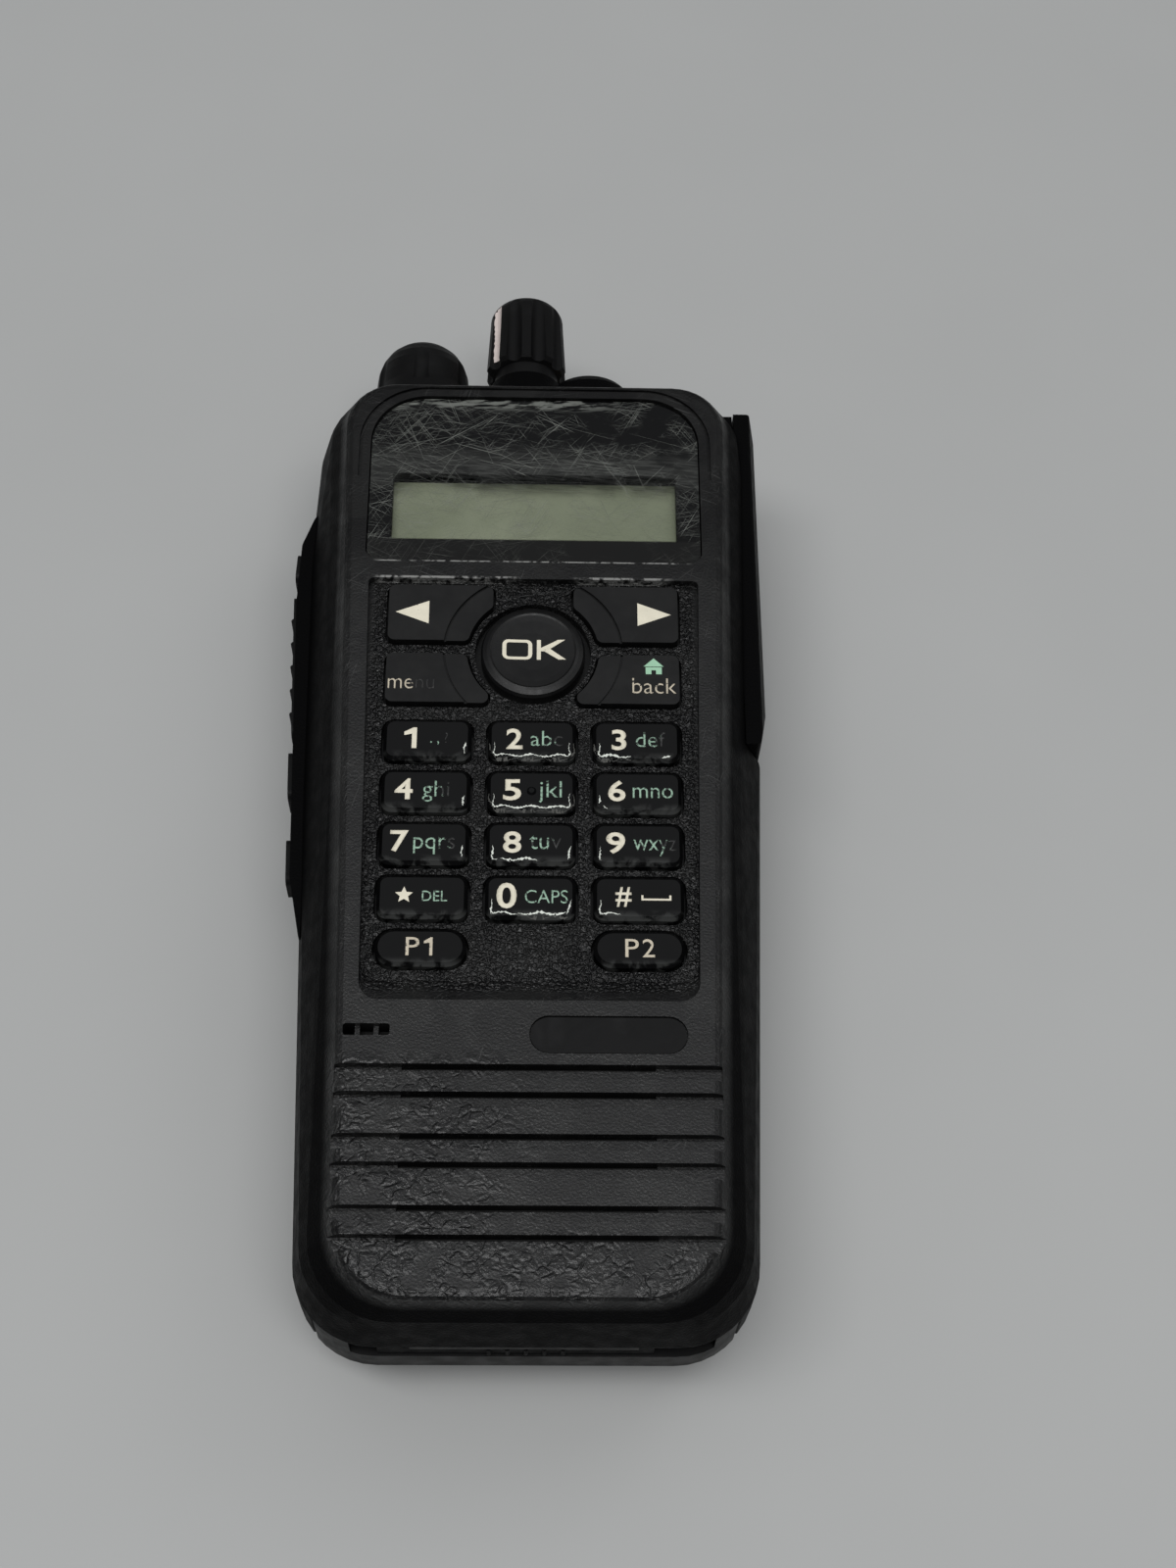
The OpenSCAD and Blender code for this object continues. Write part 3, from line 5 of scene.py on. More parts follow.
import bmesh
import bpy
from mathutils import Matrix, Vector
from mathutils.bvhtree import BVHTree
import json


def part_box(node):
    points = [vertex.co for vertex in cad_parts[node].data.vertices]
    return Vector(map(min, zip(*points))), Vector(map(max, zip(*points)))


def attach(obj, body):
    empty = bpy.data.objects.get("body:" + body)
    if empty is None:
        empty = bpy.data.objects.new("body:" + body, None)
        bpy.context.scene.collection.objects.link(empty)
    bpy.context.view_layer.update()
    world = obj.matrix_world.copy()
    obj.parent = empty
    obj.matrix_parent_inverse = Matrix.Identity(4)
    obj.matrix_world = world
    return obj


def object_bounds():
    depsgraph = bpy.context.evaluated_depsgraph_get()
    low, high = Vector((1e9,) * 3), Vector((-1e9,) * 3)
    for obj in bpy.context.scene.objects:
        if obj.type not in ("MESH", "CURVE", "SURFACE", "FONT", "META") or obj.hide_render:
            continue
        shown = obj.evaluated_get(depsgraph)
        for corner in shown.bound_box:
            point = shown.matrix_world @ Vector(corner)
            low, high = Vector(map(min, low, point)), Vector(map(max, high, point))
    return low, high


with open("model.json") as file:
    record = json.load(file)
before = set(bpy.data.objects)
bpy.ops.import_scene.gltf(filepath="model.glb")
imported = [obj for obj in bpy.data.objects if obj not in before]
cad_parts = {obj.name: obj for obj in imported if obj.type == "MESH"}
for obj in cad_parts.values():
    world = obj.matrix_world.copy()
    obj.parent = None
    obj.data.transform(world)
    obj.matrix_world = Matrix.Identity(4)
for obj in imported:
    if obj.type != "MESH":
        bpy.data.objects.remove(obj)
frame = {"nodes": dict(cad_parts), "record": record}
cad_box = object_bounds()
NODES = frame["nodes"]
MM = 0.001
scene = bpy.context.scene


def millimetres(node):
    """A node's lowest and highest corners at rest, in millimetres."""
    low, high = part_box(node)
    return [v / MM for v in low], [v / MM for v in high]


def middle(node):
    """The middle of a node as seen from the front, in millimetres."""
    low, high = millimetres(node)
    return (low[0] + high[0]) / 2, (low[1] + high[1]) / 2


# ---------- camera ----------

LOCATION = Vector((-0.13, -130.91, 286.49)) * MM
FORWARD = Vector((0.02544, 0.46747, -0.88364)).normalized()
UP = Vector((-0.01034, 0.884, 0.46737))

# In millimetres
FOCAL_LENGTH = 51.75
SENSOR_WIDTH = 36

# In metres
NEAREST = 0.01
FARTHEST = 20


def add_camera():
    """The photograph's view: from below the radio's foot, looking up along its front."""
    data = bpy.data.cameras.new("camera")
    data.sensor_width = SENSOR_WIDTH
    data.lens = FOCAL_LENGTH
    data.clip_start = NEAREST
    data.clip_end = FARTHEST
    obj = bpy.data.objects.new("camera", data)
    right = FORWARD.cross(UP).normalized()
    up = right.cross(FORWARD)
    turn = Matrix((right, up, -FORWARD)).transposed().to_4x4()
    obj.matrix_world = Matrix.Translation(LOCATION) @ turn
    scene.collection.objects.link(obj)
    scene.camera = obj


add_camera()

# ---------- materials ----------


class Shader:
    """A material's node tree, with short calls for the nodes used here. Lengths are in millimetres."""

    def __init__(self, name, **sockets):
        self.material = bpy.data.materials.new(name)
        self.material.use_nodes = True
        self.tree = self.material.node_tree
        self.bsdf = self.tree.nodes["Principled BSDF"]
        for key, value in sockets.items():
            self.set(key.replace("_", " "), value)
        coordinates = self.node("ShaderNodeTexCoord")
        self.place = self.vector("SCALE", coordinates.outputs["Object"], scale=1 / MM)
        self.within = coordinates.outputs["Generated"]

    def node(self, kind, **settings):
        node = self.tree.nodes.new(kind)
        for key, value in settings.items():
            setattr(node, key, value)
        return node

    def link(self, source, socket):
        self.tree.links.new(source, socket)

    def feed(self, socket, value):
        """Links a node's output to a socket, or sets a plain value on it."""
        if isinstance(value, bpy.types.NodeSocket):
            self.link(value, socket)
        else:
            socket.default_value = value

    def set(self, name, value):
        self.feed(self.bsdf.inputs[name], value)

    def vector(self, operation, a, b=None, scale=None):
        node = self.node("ShaderNodeVectorMath", operation=operation)
        self.feed(node.inputs[0], a)
        if b is not None:
            self.feed(node.inputs[1], b)
        if scale is not None:
            node.inputs["Scale"].default_value = scale
        return node.outputs[0]

    def math(self, operation, a, b=0.0):
        node = self.node("ShaderNodeMath", operation=operation)
        self.feed(node.inputs[0], a)
        self.feed(node.inputs[1], b)
        return node.outputs[0]

    def both(self, a, b):
        return self.math("MULTIPLY", a, b)

    def either(self, a, b):
        return self.math("MAXIMUM", a, b)

    def axis(self, letter, place=None):
        node = self.node("ShaderNodeSeparateXYZ")
        self.link(place or self.place, node.inputs[0])
        return node.outputs[letter]

    def ramp(self, value, low, high, a=0.0, b=1.0):
        """Goes smoothly from a to b as value goes from low to high. High may be the lower of the two."""
        node = self.node("ShaderNodeMapRange", clamp=True, interpolation_type="SMOOTHSTEP")
        self.feed(node.inputs["Value"], value)
        for key, number in (("From Min", low), ("From Max", high), ("To Min", a), ("To Max", b)):
            node.inputs[key].default_value = number
        return node.outputs["Result"]

    def between(self, value, low, high):
        """1 between two limits and 0 beyond them. A limit is a pair: where it is 0, then where it is 1."""
        return self.both(self.ramp(value, *low), self.ramp(value, *high))

    def noise(self, size, detail=3.0, rough=0.55, warp=0.0, place=None):
        """Smooth noise from 0 to 1 with features of about that size."""
        node = self.node("ShaderNodeTexNoise")
        self.link(place or self.place, node.inputs["Vector"])
        node.inputs["Scale"].default_value = 1 / size
        node.inputs["Detail"].default_value = detail
        node.inputs["Roughness"].default_value = rough
        node.inputs["Distortion"].default_value = warp
        return node.outputs["Fac"]

    def patches(self, size, low, high, **settings):
        """Soft patches of about that size: 0 where the noise is below low, 1 where it is above high."""
        return self.ramp(self.noise(size, **settings), low, high)

    def cells(self, size, warp):
        """Distance to the nearest edge between cells: 0 in the creases, higher on the pebbles."""
        bend = self.node("ShaderNodeTexNoise")
        self.link(self.place, bend.inputs["Vector"])
        bend.inputs["Scale"].default_value = 0.7 / size
        place = self.vector("ADD", self.place, self.vector("SCALE", bend.outputs["Color"], scale=warp))
        node = self.node("ShaderNodeTexVoronoi", feature="DISTANCE_TO_EDGE")
        self.link(place, node.inputs["Vector"])
        node.inputs["Scale"].default_value = 1 / size
        return node.outputs["Distance"]

    def turned(self, angle, stretch, shift):
        """Coordinates turned in the front's plane and drawn out, for noise that forms long lines."""
        node = self.node("ShaderNodeMapping", vector_type="TEXTURE")
        self.link(self.place, node.inputs["Vector"])
        node.inputs["Location"].default_value = (shift, 2.7 * shift, 0)
        node.inputs["Rotation"].default_value = (0, 0, math.radians(angle))
        node.inputs["Scale"].default_value = (stretch, 1, 4)
        return node.outputs["Vector"]

    def scratches(self, angles, width, length, share, fade=0.02):
        """Thin lines in several directions: 1 on a line, 0 off it. A high share gives few lines.

        Each direction reads the noise at another place, so that the lines don't meet in one pattern.
        """
        total = 0.0
        for i, angle in enumerate(angles):
            place = self.turned(angle, length / width, 13.1 * i + angle / 7)
            lines = self.patches(width, share, share + fade, detail=1.0, rough=0.4, warp=0.25, place=place)
            total = self.either(total, lines)
        return total

    def mix(self, factor, a, b):
        """A colour from a to b."""
        node = self.node("ShaderNodeMix", data_type="RGBA")
        self.feed(node.inputs["Factor"], factor)
        for socket, color in ((node.inputs["A"], a), (node.inputs["B"], b)):
            self.feed(socket, (*color, 1) if isinstance(color, tuple) else color)
        return node.outputs["Result"]

    def blend(self, factor, a, b):
        """A number from a to b."""
        node = self.node("ShaderNodeMix", data_type="FLOAT")
        for key, value in (("Factor", factor), ("A", a), ("B", b)):
            self.feed(node.inputs[key], value)
        return node.outputs["Result"]

    def bump(self, height, depth, strength):
        """Adds relief of that depth on top of what is there already."""
        node = self.node("ShaderNodeBump")
        node.inputs["Strength"].default_value = strength
        node.inputs["Distance"].default_value = depth * MM
        self.link(height, node.inputs["Height"])
        if self.bsdf.inputs["Normal"].is_linked:
            self.link(self.bsdf.inputs["Normal"].links[0].from_socket, node.inputs["Normal"])
        self.set("Normal", node.outputs["Normal"])


BLACK = (0.0028, 0.0028, 0.0030)
RUBBED_BLACK = (0.009, 0.009, 0.0088)
WORN = (0.060, 0.061, 0.060)
WORN_EDGE_HIGHLIGHT = (0.26, 0.26, 0.25)
RUBBER = (0.005, 0.005, 0.0052)
KEY_BLACK = (0.0025, 0.0025, 0.0027)
KEY_WORN_SHEEN = (0.06, 0.062, 0.06)
SATIN_BLACK = (0.0045, 0.0045, 0.0047)
SATIN_WORN = (0.008, 0.008, 0.008)
LENS_PRINT = (0.0015, 0.0016, 0.0018)
LENS_DULL = (0.006, 0.006, 0.0058)
LENS_HAZE = (0.15, 0.155, 0.145)
LENS_SCRATCH_AND_GLINT = (0.42, 0.44, 0.40)
LCD_GREEN = (0.235, 0.265, 0.175)
LCD_PALE = (0.285, 0.315, 0.215)
CREAM = (0.95, 0.89, 0.72)
THIN_CREAM = (0.72, 0.64, 0.50)
PALE_GREEN = (0.40, 0.60, 0.46)

# Places on the front, in millimetres: its face, the keys, the lens, half the recess, and the grille's ends
FACE = millimetres("front_housing")[1][2]
KEYS_FOOT = millimetres("key_p1")[0][1]
KEYS_TOP = millimetres("key_left")[1][1]
LENS_FOOT = millimetres("display_lens")[0][1]
LENS_TOP = millimetres("display_lens")[1][1]
RECESS_SIDE = 21.5
GRILLE_TOP = -33.5
GRILLE_FOOT = -55

# Edges painted bright, a painted highlight and partly wear, under the lens and over the keys: height, then
# the left and right ends
WORN_HIGHLIGHTED_EDGES = [
    (LENS_FOOT - 0.15, -RECESS_SIDE, RECESS_SIDE),
    (KEYS_TOP + 0.4, -RECESS_SIDE, -1.0),
    (KEYS_TOP + 0.4, 5.0, 19.0),
]


def housing_finish():
    """The moulded front: pebbled round the keys, rubbed and wrinkled where worn, with a painted highlight,
    partly wear, along its edges.
    """
    s = Shader("housing_plastic")
    x, y, z = s.axis("X"), s.axis("Y"), s.axis("Z")
    front = s.ramp(z, FACE - 2.7, FACE - 0.6)
    low_enough = s.between(z, (FACE - 4.2, FACE - 2.7), (FACE - 0.3, FACE - 0.9))
    round_keys = s.both(s.ramp(s.math("ABSOLUTE", x), RECESS_SIDE, RECESS_SIDE - 1.1),
                        s.between(y, (KEYS_FOOT - 4.6, KEYS_FOOT - 2.6), (KEYS_TOP + 1.1, KEYS_TOP + 0.1)))
    recess = s.both(low_enough, round_keys)
    rubbed = s.both(s.patches(8, 0.46, 0.62, detail=5, warp=0.6), front)
    lines = s.scratches((8, -24, 41, 74), 0.10, 9, share=0.70)
    scored = s.both(s.both(lines, s.patches(7, 0.45, 0.6, detail=2)), front)
    left_or_foot = s.either(s.ramp(x, 4, -8), s.ramp(y, GRILLE_FOOT, GRILLE_FOOT - 2))
    worn_area = s.both(s.ramp(y, GRILLE_TOP, GRILLE_TOP - 2), left_or_foot)
    wrinkled = s.both(s.both(worn_area, front), s.patches(5, 0.40, 0.56, detail=3, warp=0.8))
    # A painted highlight, partly wear: a bright line along the step edges under the lens and over the keys
    edges = 0.0
    for height, left, right in WORN_HIGHLIGHTED_EDGES:
        off = s.math("ABSOLUTE", s.math("SUBTRACT", y, height))
        line = s.both(s.ramp(off, 0.26, 0.10), s.between(x, (left, left + 1.5), (right, right - 3)))
        edges = s.either(edges, line)
    edges = s.both(edges, s.patches(0.9, 0.40, 0.56, detail=4))

    plain = s.mix(rubbed, BLACK, RUBBED_BLACK)
    s.set("Base Color", s.mix(edges, s.mix(s.both(scored, 0.8), plain, WORN), WORN_EDGE_HIGHLIGHT))
    # Painted shade: the slopes get almost no reflection, and the front's reflection weakens towards the top
    duller_upwards = s.ramp(y, 20, 45, 0.42, 0.24)
    s.set("Specular IOR Level", s.blend(s.either(front, recess), 0.02, duller_upwards))
    rough = s.math("ADD", s.blend(rubbed, 0.46, 0.36), s.ramp(s.noise(2.2), 0.3, 0.7, -0.05, 0.08))
    s.set("Roughness", s.blend(recess, s.blend(wrinkled, rough, 0.30), 0.32))
    s.bump(s.noise(0.32, detail=2), 0.10, 0.8)
    s.bump(s.both(wrinkled, s.ramp(s.cells(1.7, warp=2.6), 0.0, 0.20)), 0.10, 0.8)
    s.bump(s.blend(recess, 0.5, s.ramp(s.cells(0.62, warp=0.7), 0.0, 0.3)), 0.17, 0.9)
    s.bump(scored, -0.02, 0.5)
    return s.material


def grained(name, color=BLACK, rough=0.5, grain=0.16, depth=0.035, worn=0.25, **sockets):
    """A moulded or rubber surface: fine grain, slow changes of gloss, and lighter rubbed patches."""
    s = Shader(name, **{"Specular_IOR_Level": 0.14, **sockets})
    lighter = tuple(1.6 * c + 0.003 for c in color)
    s.set("Base Color", s.mix(s.both(s.patches(6, 0.5, 0.7, detail=5, warp=0.5), worn), color, lighter))
    s.set("Roughness", s.ramp(s.noise(2.6, detail=4), 0.3, 0.7, rough - 0.07, rough + 0.07))
    s.bump(s.noise(grain, detail=2), depth, 0.6)
    return s.material


def metal(name, color, rough, brushed=0.0):
    """Bare metal, a little darker in patches. brushed: how deep its brush lines are, or 0 for fine pits."""
    s = Shader(name, Metallic=1.0)
    s.set("Base Color", s.mix(s.patches(3, 0.35, 0.65, detail=4), color, tuple(0.8 * c for c in color)))
    s.set("Roughness", s.ramp(s.noise(0.8, detail=3), 0.3, 0.7, rough - 0.06, rough + 0.08))
    if brushed:
        s.bump(s.noise(0.08, place=s.turned(0, 40, 0)), brushed, 0.5)
    else:
        s.bump(s.noise(0.25, detail=3), 0.02, 0.5)
    return s.material


def key_finish():
    """Glossy moulded keys: fine rubbing, and grey over the lower edge, a painted reflection and partly lost
    gloss.
    """
    s = Shader("key_gloss", Specular_IOR_Level=0.14, Coat_Weight=0.15, Coat_Roughness=0.08)
    # Grey over the lower part of each key: a painted reflection on the lower bevel, partly wear
    near_foot = s.ramp(s.axis("Y", s.within), 0.30, 0.10)
    rubbed = s.both(near_foot, s.patches(2.1, 0.42, 0.58, detail=4, warp=0.4))
    s.set("Base Color", s.mix(s.both(rubbed, 0.7), KEY_BLACK, KEY_WORN_SHEEN))
    s.set("Roughness", s.blend(rubbed, s.ramp(s.noise(1.5, detail=4), 0.3, 0.7, 0.16, 0.26), 0.42))
    s.bump(s.noise(0.5, detail=4), 0.02, 0.3)
    return s.material


def satin_key_finish():
    """The flat navigation keys: dull and even, with a fine grain."""
    s = Shader("key_satin", Specular_IOR_Level=0.3)
    s.set("Base Color", s.mix(s.patches(4, 0.4, 0.7, detail=4), SATIN_BLACK, SATIN_WORN))
    s.set("Roughness", s.ramp(s.noise(1.2, detail=4), 0.3, 0.7, 0.36, 0.48))
    s.bump(s.noise(0.14, detail=2), 0.02, 0.5)
    return s.material


# The display's window in the lens's print: how far inside the display module it stays
LCD_BORDER = 2.2
LCD_BELOW = 1.8
LCD_ABOVE = 5.2
WINDOW_FADE = 0.15


def lens_finish():
    """A clear front with a black back print round the display's window, scratched and hazy from use."""
    s = Shader("lens_glass", Specular_IOR_Level=0.16, Coat_Weight=0.1, Coat_Roughness=0.05)
    x, y = s.axis("X"), s.axis("Y")
    low, high = millimetres("lcd_module")
    left, right = low[0] + LCD_BORDER, high[0] - LCD_BORDER
    foot, top = low[1] + LCD_BELOW, high[1] - LCD_ABOVE
    fade = WINDOW_FADE
    inside = s.both(s.between(x, (left - fade, left + fade), (right + fade, right - fade)),
                    s.between(y, (foot - fade, foot + fade), (top + fade, top - fade)))

    # Haze in long streaks, in a band over the window's upper edge
    streaks = s.ramp(s.noise(0.22, detail=3, place=s.turned(-4, 14, 5)), 0.35, 0.65, 0.35, 1.0)
    band = s.between(y, (top - 3.5, top + 0.2), (top + 6.0, top + 1.2))
    haze = s.both(s.both(band, streaks), s.patches(8, 0.36, 0.58, detail=3, warp=0.5))

    # Fine scratches, more of them to the left, a few deep ones, and a bright line along the upper edge, a
    # painted glint and partly wear
    fine = s.scratches((-28, 12, 33, -55, 62, -8), 0.055, 11, share=0.69, fade=0.06)
    more_left = s.math("ADD", s.noise(5, detail=3), s.ramp(x, 8, -12, 0.0, 0.10))
    deep = s.scratches((-17, 48, -70), 0.11, 16, share=0.75)
    rubbed = s.both(s.both(s.ramp(y, LENS_TOP - 2.2, LENS_TOP - 0.9), s.ramp(x, 15, 5)),
                    s.patches(0.5, 0.48, 0.60, detail=4, place=s.turned(3, 6, 9)))
    marks = s.both(fine, s.ramp(more_left, 0.42, 0.62))
    marks = s.either(marks, s.both(deep, s.patches(11, 0.44, 0.56, detail=2)))
    marks = s.either(marks, s.both(rubbed, 0.6))

    # The strip under the window is dull, and less scratched
    dull = s.ramp(y, LENS_FOOT + 3.9, LENS_FOOT + 3.3)
    marks = s.both(marks, s.blend(dull, 1.0, 0.3))
    hazy_print = s.mix(s.both(haze, 0.3), s.mix(dull, LENS_PRINT, LENS_DULL), LENS_HAZE)
    # Scratches, and the painted glint along the upper edge, in a pale colour
    s.set("Base Color", s.mix(s.both(marks, 0.6), hazy_print, LENS_SCRATCH_AND_GLINT))
    s.set("Roughness", s.either(s.blend(dull, 0.10, 0.38), s.both(s.either(haze, marks), 0.45)))
    veil = s.either(s.both(marks, 0.55), s.both(haze, 0.55))
    s.set("Alpha", s.math("SUBTRACT", 1.0, s.both(inside, s.math("SUBTRACT", 0.93, veil))))
    s.bump(marks, -0.02, 0.5)
    return s.material


def lcd_finish():
    """A pale green display with nothing on it."""
    s = Shader("lcd_glass", Coat_Weight=0.3, Coat_Roughness=0.2)
    s.set("Base Color", s.mix(s.patches(12, 0.35, 0.65, detail=2), LCD_GREEN, LCD_PALE))
    s.set("Roughness", s.ramp(s.noise(3, detail=3), 0.3, 0.7, 0.45, 0.6))
    return s.material


def print_finish(name, color, loss, size=0.35, fade=None):
    """Printed or painted marks that have partly rubbed off, down to the black under them.

    loss: a higher number rubs more of the mark off. fade: where the mark starts and ends to go from left to
    right, as shares of its width.
    """
    s = Shader(name)
    level = s.noise(size, detail=4, rough=0.65, warp=0.4)
    if fade:
        level = s.math("ADD", level, s.ramp(s.axis("X", s.within), *fade, 0.0, 0.45))
    gone = s.ramp(level, 1 - loss - 0.05, 1 - loss + 0.05)
    tint = s.mix(s.noise(1.2, detail=2), color, tuple(0.78 * c for c in color))
    s.set("Base Color", s.mix(gone, tint, (0.02, 0.02, 0.02)))
    s.bump(s.noise(0.12, detail=2), 0.01, 0.4)
    return s.material


FINISHES = {
    "lcd": lcd_finish(),
    "key_gloss": key_finish(),
    "key_satin": satin_key_finish(),
    "knob": grained("knob_rubber", RUBBER, grain=0.25, depth=0.05, worn=0.5),
    "side_rubber": grained("side_rubber", RUBBER, 0.55, worn=0.4),
    "seal": grained("seal_rubber", (0.012, 0.012, 0.012), 0.6),
    "membrane": grained("membrane_rubber", (0.02, 0.02, 0.022), 0.6),
    "board": grained("board_green", (0.012, 0.10, 0.045), 0.35, grain=0.6, depth=0.01, worn=0.0),
    "mesh": grained("mesh_cloth", (0.006, 0.006, 0.006), 0.7, grain=0.3, depth=0.1),
    "cone": grained("cone_paper", (0.02, 0.02, 0.02), 0.7),
    "frame_plastic": grained("inner_plastic", (0.02, 0.02, 0.02)),
    "switch": grained("switch_plastic", (0.02, 0.02, 0.021), 0.45),
    "battery": grained("battery_plastic", worn=0.35),
    "plate": grained("plate_plastic", (0.007, 0.007, 0.0072), 0.42, depth=0.02, worn=0.6),
    "light_pipe": grained("light_pipe_clear", (0.32, 0.34, 0.33), 0.2, grain=0.6, depth=0.01, worn=0.0),
    "steel": metal("bare_steel", (0.45, 0.45, 0.45), 0.3, brushed=0.02),
    "shield": metal("shield_tin", (0.62, 0.62, 0.60), 0.3, brushed=0.01),
    "chassis": grained("painted_casting", (0.012, 0.012, 0.0125), grain=0.35, depth=0.05, Metallic=0.3),
    "brass": metal("brass", (0.60, 0.42, 0.17), 0.3),
    "contact": metal("gold_plate", (0.80, 0.55, 0.20), 0.22),
    "cell": grained("cell_wrap", (0.03, 0.07, 0.16), 0.35, grain=1.0, depth=0.01),
    "lens": lens_finish(),
    "housing": housing_finish(),
}

# Nodes whose finish is not their slot's: the microphone shows only its dark cloth
OTHER_FINISH = {"microphone": "mesh"}

for part in frame["record"]["subparts"]:
    obj = NODES[part["node"]]
    obj.data.materials.clear()
    obj.data.materials.append(FINISHES[OTHER_FINISH.get(part["node"], part["material_slot"])])

cream = print_finish("print_cream", CREAM, 0.30)
green = print_finish("print_green", PALE_GREEN, 0.42, size=0.5)
green_faded = print_finish("print_green_faded", PALE_GREEN, 0.44, size=0.5, fade=(0.35, 1.4))
thin_cream = print_finish("print_thin_cream", THIN_CREAM, 0.36, size=0.5)
thin_cream_faded = print_finish("print_thin_cream_faded", THIN_CREAM, 0.36, size=0.5, fade=(0.35, 0.75))
home_green = print_finish("print_home", (0.42, 0.72, 0.50), 0.25)
# Pale and grey marks on the keys' lower edges: painted highlight and painted reflection, partly wear
wear_and_glint_paint = print_finish("wear_and_glint_paint", (0.88, 0.92, 0.84), 0.34, size=0.3)
wear_and_sheen_grey = print_finish("wear_and_sheen_grey", (0.13, 0.13, 0.12), 0.40, size=0.7)
pointer_paint = print_finish("pointer_paint", (0.85, 0.74, 0.70), 0.30, size=0.6)

# ---------- pieces that lie on a CAD surface ----------

ARTWORK_STEP = 0.7

surfaces = {}


def surface(node):
    """A search tree over a node's mesh at rest."""
    if node not in surfaces:
        obj = NODES[node]
        surfaces[node] = BVHTree.FromPolygons([obj.matrix_world @ v.co for v in obj.data.vertices],
                                              [p.vertices for p in obj.data.polygons])
    return surfaces[node]


def hit(node, start, direction):
    """Where a ray from start meets the node, or None."""
    return surface(node).ray_cast(Vector(start), Vector(direction))[0]


def add_piece(name, bm, body, material):
    """Makes a mesh a piece that rides on a body."""
    mesh = bpy.data.meshes.new(name)
    bmesh.ops.recalc_face_normals(bm, faces=bm.faces)
    bm.to_mesh(mesh)
    bm.free()
    mesh.materials.append(material)
    obj = bpy.data.objects.new(name, mesh)
    scene.collection.objects.link(obj)
    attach(obj, body)


def grid_cut(bm, step):
    """Cuts flat artwork along a grid, so that it can follow a curved surface."""
    for i in range(2):
        values = [v.co[i] for v in bm.verts]
        count = int((max(values) - min(values)) / step)
        for k in range(1, count + 1):
            point = [0, 0, 0]
            normal = [0, 0, 0]
            point[i] = min(values) + k * step
            normal[i] = 1
            bmesh.ops.bisect_plane(bm, geom=bm.verts[:] + bm.edges[:] + bm.faces[:], plane_co=point,
                                   plane_no=normal)


def thicken(bm, depth):
    """Gives a sheet a thickness in millimetres, upwards."""
    made = bmesh.ops.extrude_face_region(bm, geom=bm.faces[:])
    for v in made["geom"]:
        if isinstance(v, bmesh.types.BMVert):
            v.co.z += depth * MM


def lay(key, part, bm, material, lift=0.012, thick=0.012):
    """Lays flat artwork on a key, a little above its face, and makes it a piece that rides on the key."""
    grid_cut(bm, ARTWORK_STEP * MM)
    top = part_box(key)[1][2]
    for v in bm.verts:
        point = hit(key, (v.co.x, v.co.y, top + MM), (0, 0, -1))
        v.co.z = (point.z if point else top) + lift * MM
    thicken(bm, thick)
    add_piece(key + "_" + part, bm, key, material)


def fit(bm, x, y):
    """Scales flat artwork to fill the box x = (left, right), y = (foot, top) in millimetres."""
    for i, (low, high) in enumerate((x, y)):
        values = [v.co[i] for v in bm.verts]
        a, b = min(values), max(values)
        for v in bm.verts:
            v.co[i] = (low + (v.co[i] - a) / (b - a) * (high - low)) * MM
    for v in bm.verts:
        v.co.z = 0


def letters(text, x, y, bold=0.0):
    """Flat lettering that fills the box x = (left, right), y = (foot, top) in millimetres."""
    curve = bpy.data.curves.new("letters", "FONT")
    curve.body = text
    curve.offset = bold
    curve.resolution_u = 4
    obj = bpy.data.objects.new("letters", curve)
    scene.collection.objects.link(obj)
    bpy.context.view_layer.update()
    mesh = obj.evaluated_get(bpy.context.evaluated_depsgraph_get()).to_mesh()
    bm = bmesh.new()
    bm.from_mesh(mesh)
    obj.to_mesh_clear()
    bpy.data.objects.remove(obj)
    fit(bm, x, y)
    return bm


def shape(*outlines):
    """Flat artwork from outlines of points in millimetres."""
    bm = bmesh.new()
    for outline in outlines:
        bm.faces.new([bm.verts.new((x * MM, y * MM, 0)) for x, y in outline])
    bm.normal_update()
    bmesh.ops.triangulate(bm, faces=bm.faces[:])
    return bm


def ring(outer, inner):
    """Flat artwork between two closed outlines with equally many points."""
    bm = bmesh.new()
    a, b = [[bm.verts.new((x * MM, y * MM, 0)) for x, y in row] for row in (outer, inner)]
    for i in range(len(a)):
        j = (i + 1) % len(a)
        bm.faces.new([a[i], a[j], b[j], b[i]])
    return bm


def rounded(w, h, r, x, y):
    """Points of a rounded rectangle about (x, y), anticlockwise from its right side."""
    steps = 5
    points = []
    for k, (sx, sy) in enumerate(((1, 1), (-1, 1), (-1, -1), (1, -1))):
        for i in range(steps + 1):
            a = math.radians(90 * (k + i / steps))
            points.append((x + sx * (w / 2 - r) + r * math.cos(a), y + sy * (h / 2 - r) + r * math.sin(a)))
    return points


def star(x, y, r):
    """Points of a five-pointed star that stands on two of its points."""
    points = []
    for i in range(10):
        reach = r if i % 2 == 0 else 0.46 * r
        points.append((x + reach * math.sin(math.pi * i / 5), y + reach * math.cos(math.pi * i / 5)))
    return points


def one(x, y, stroke):
    """The numeral 1: an upright with a short flag, which the built-in font draws as a plain bar."""
    (x0, x1), (y0, y1) = x, y
    drop = 0.30 * (y1 - y0)
    return shape([(x1 - stroke, y0), (x1, y0), (x1, y1), (x1 - 0.7 * stroke, y1), (x0, y1 - 0.7 * drop),
                  (x0, y1 - 0.7 * drop - 0.8 * stroke), (x1 - stroke, y1 - drop)])


# ---------- lettering of the keypad, in millimetres from the middle of each key ----------

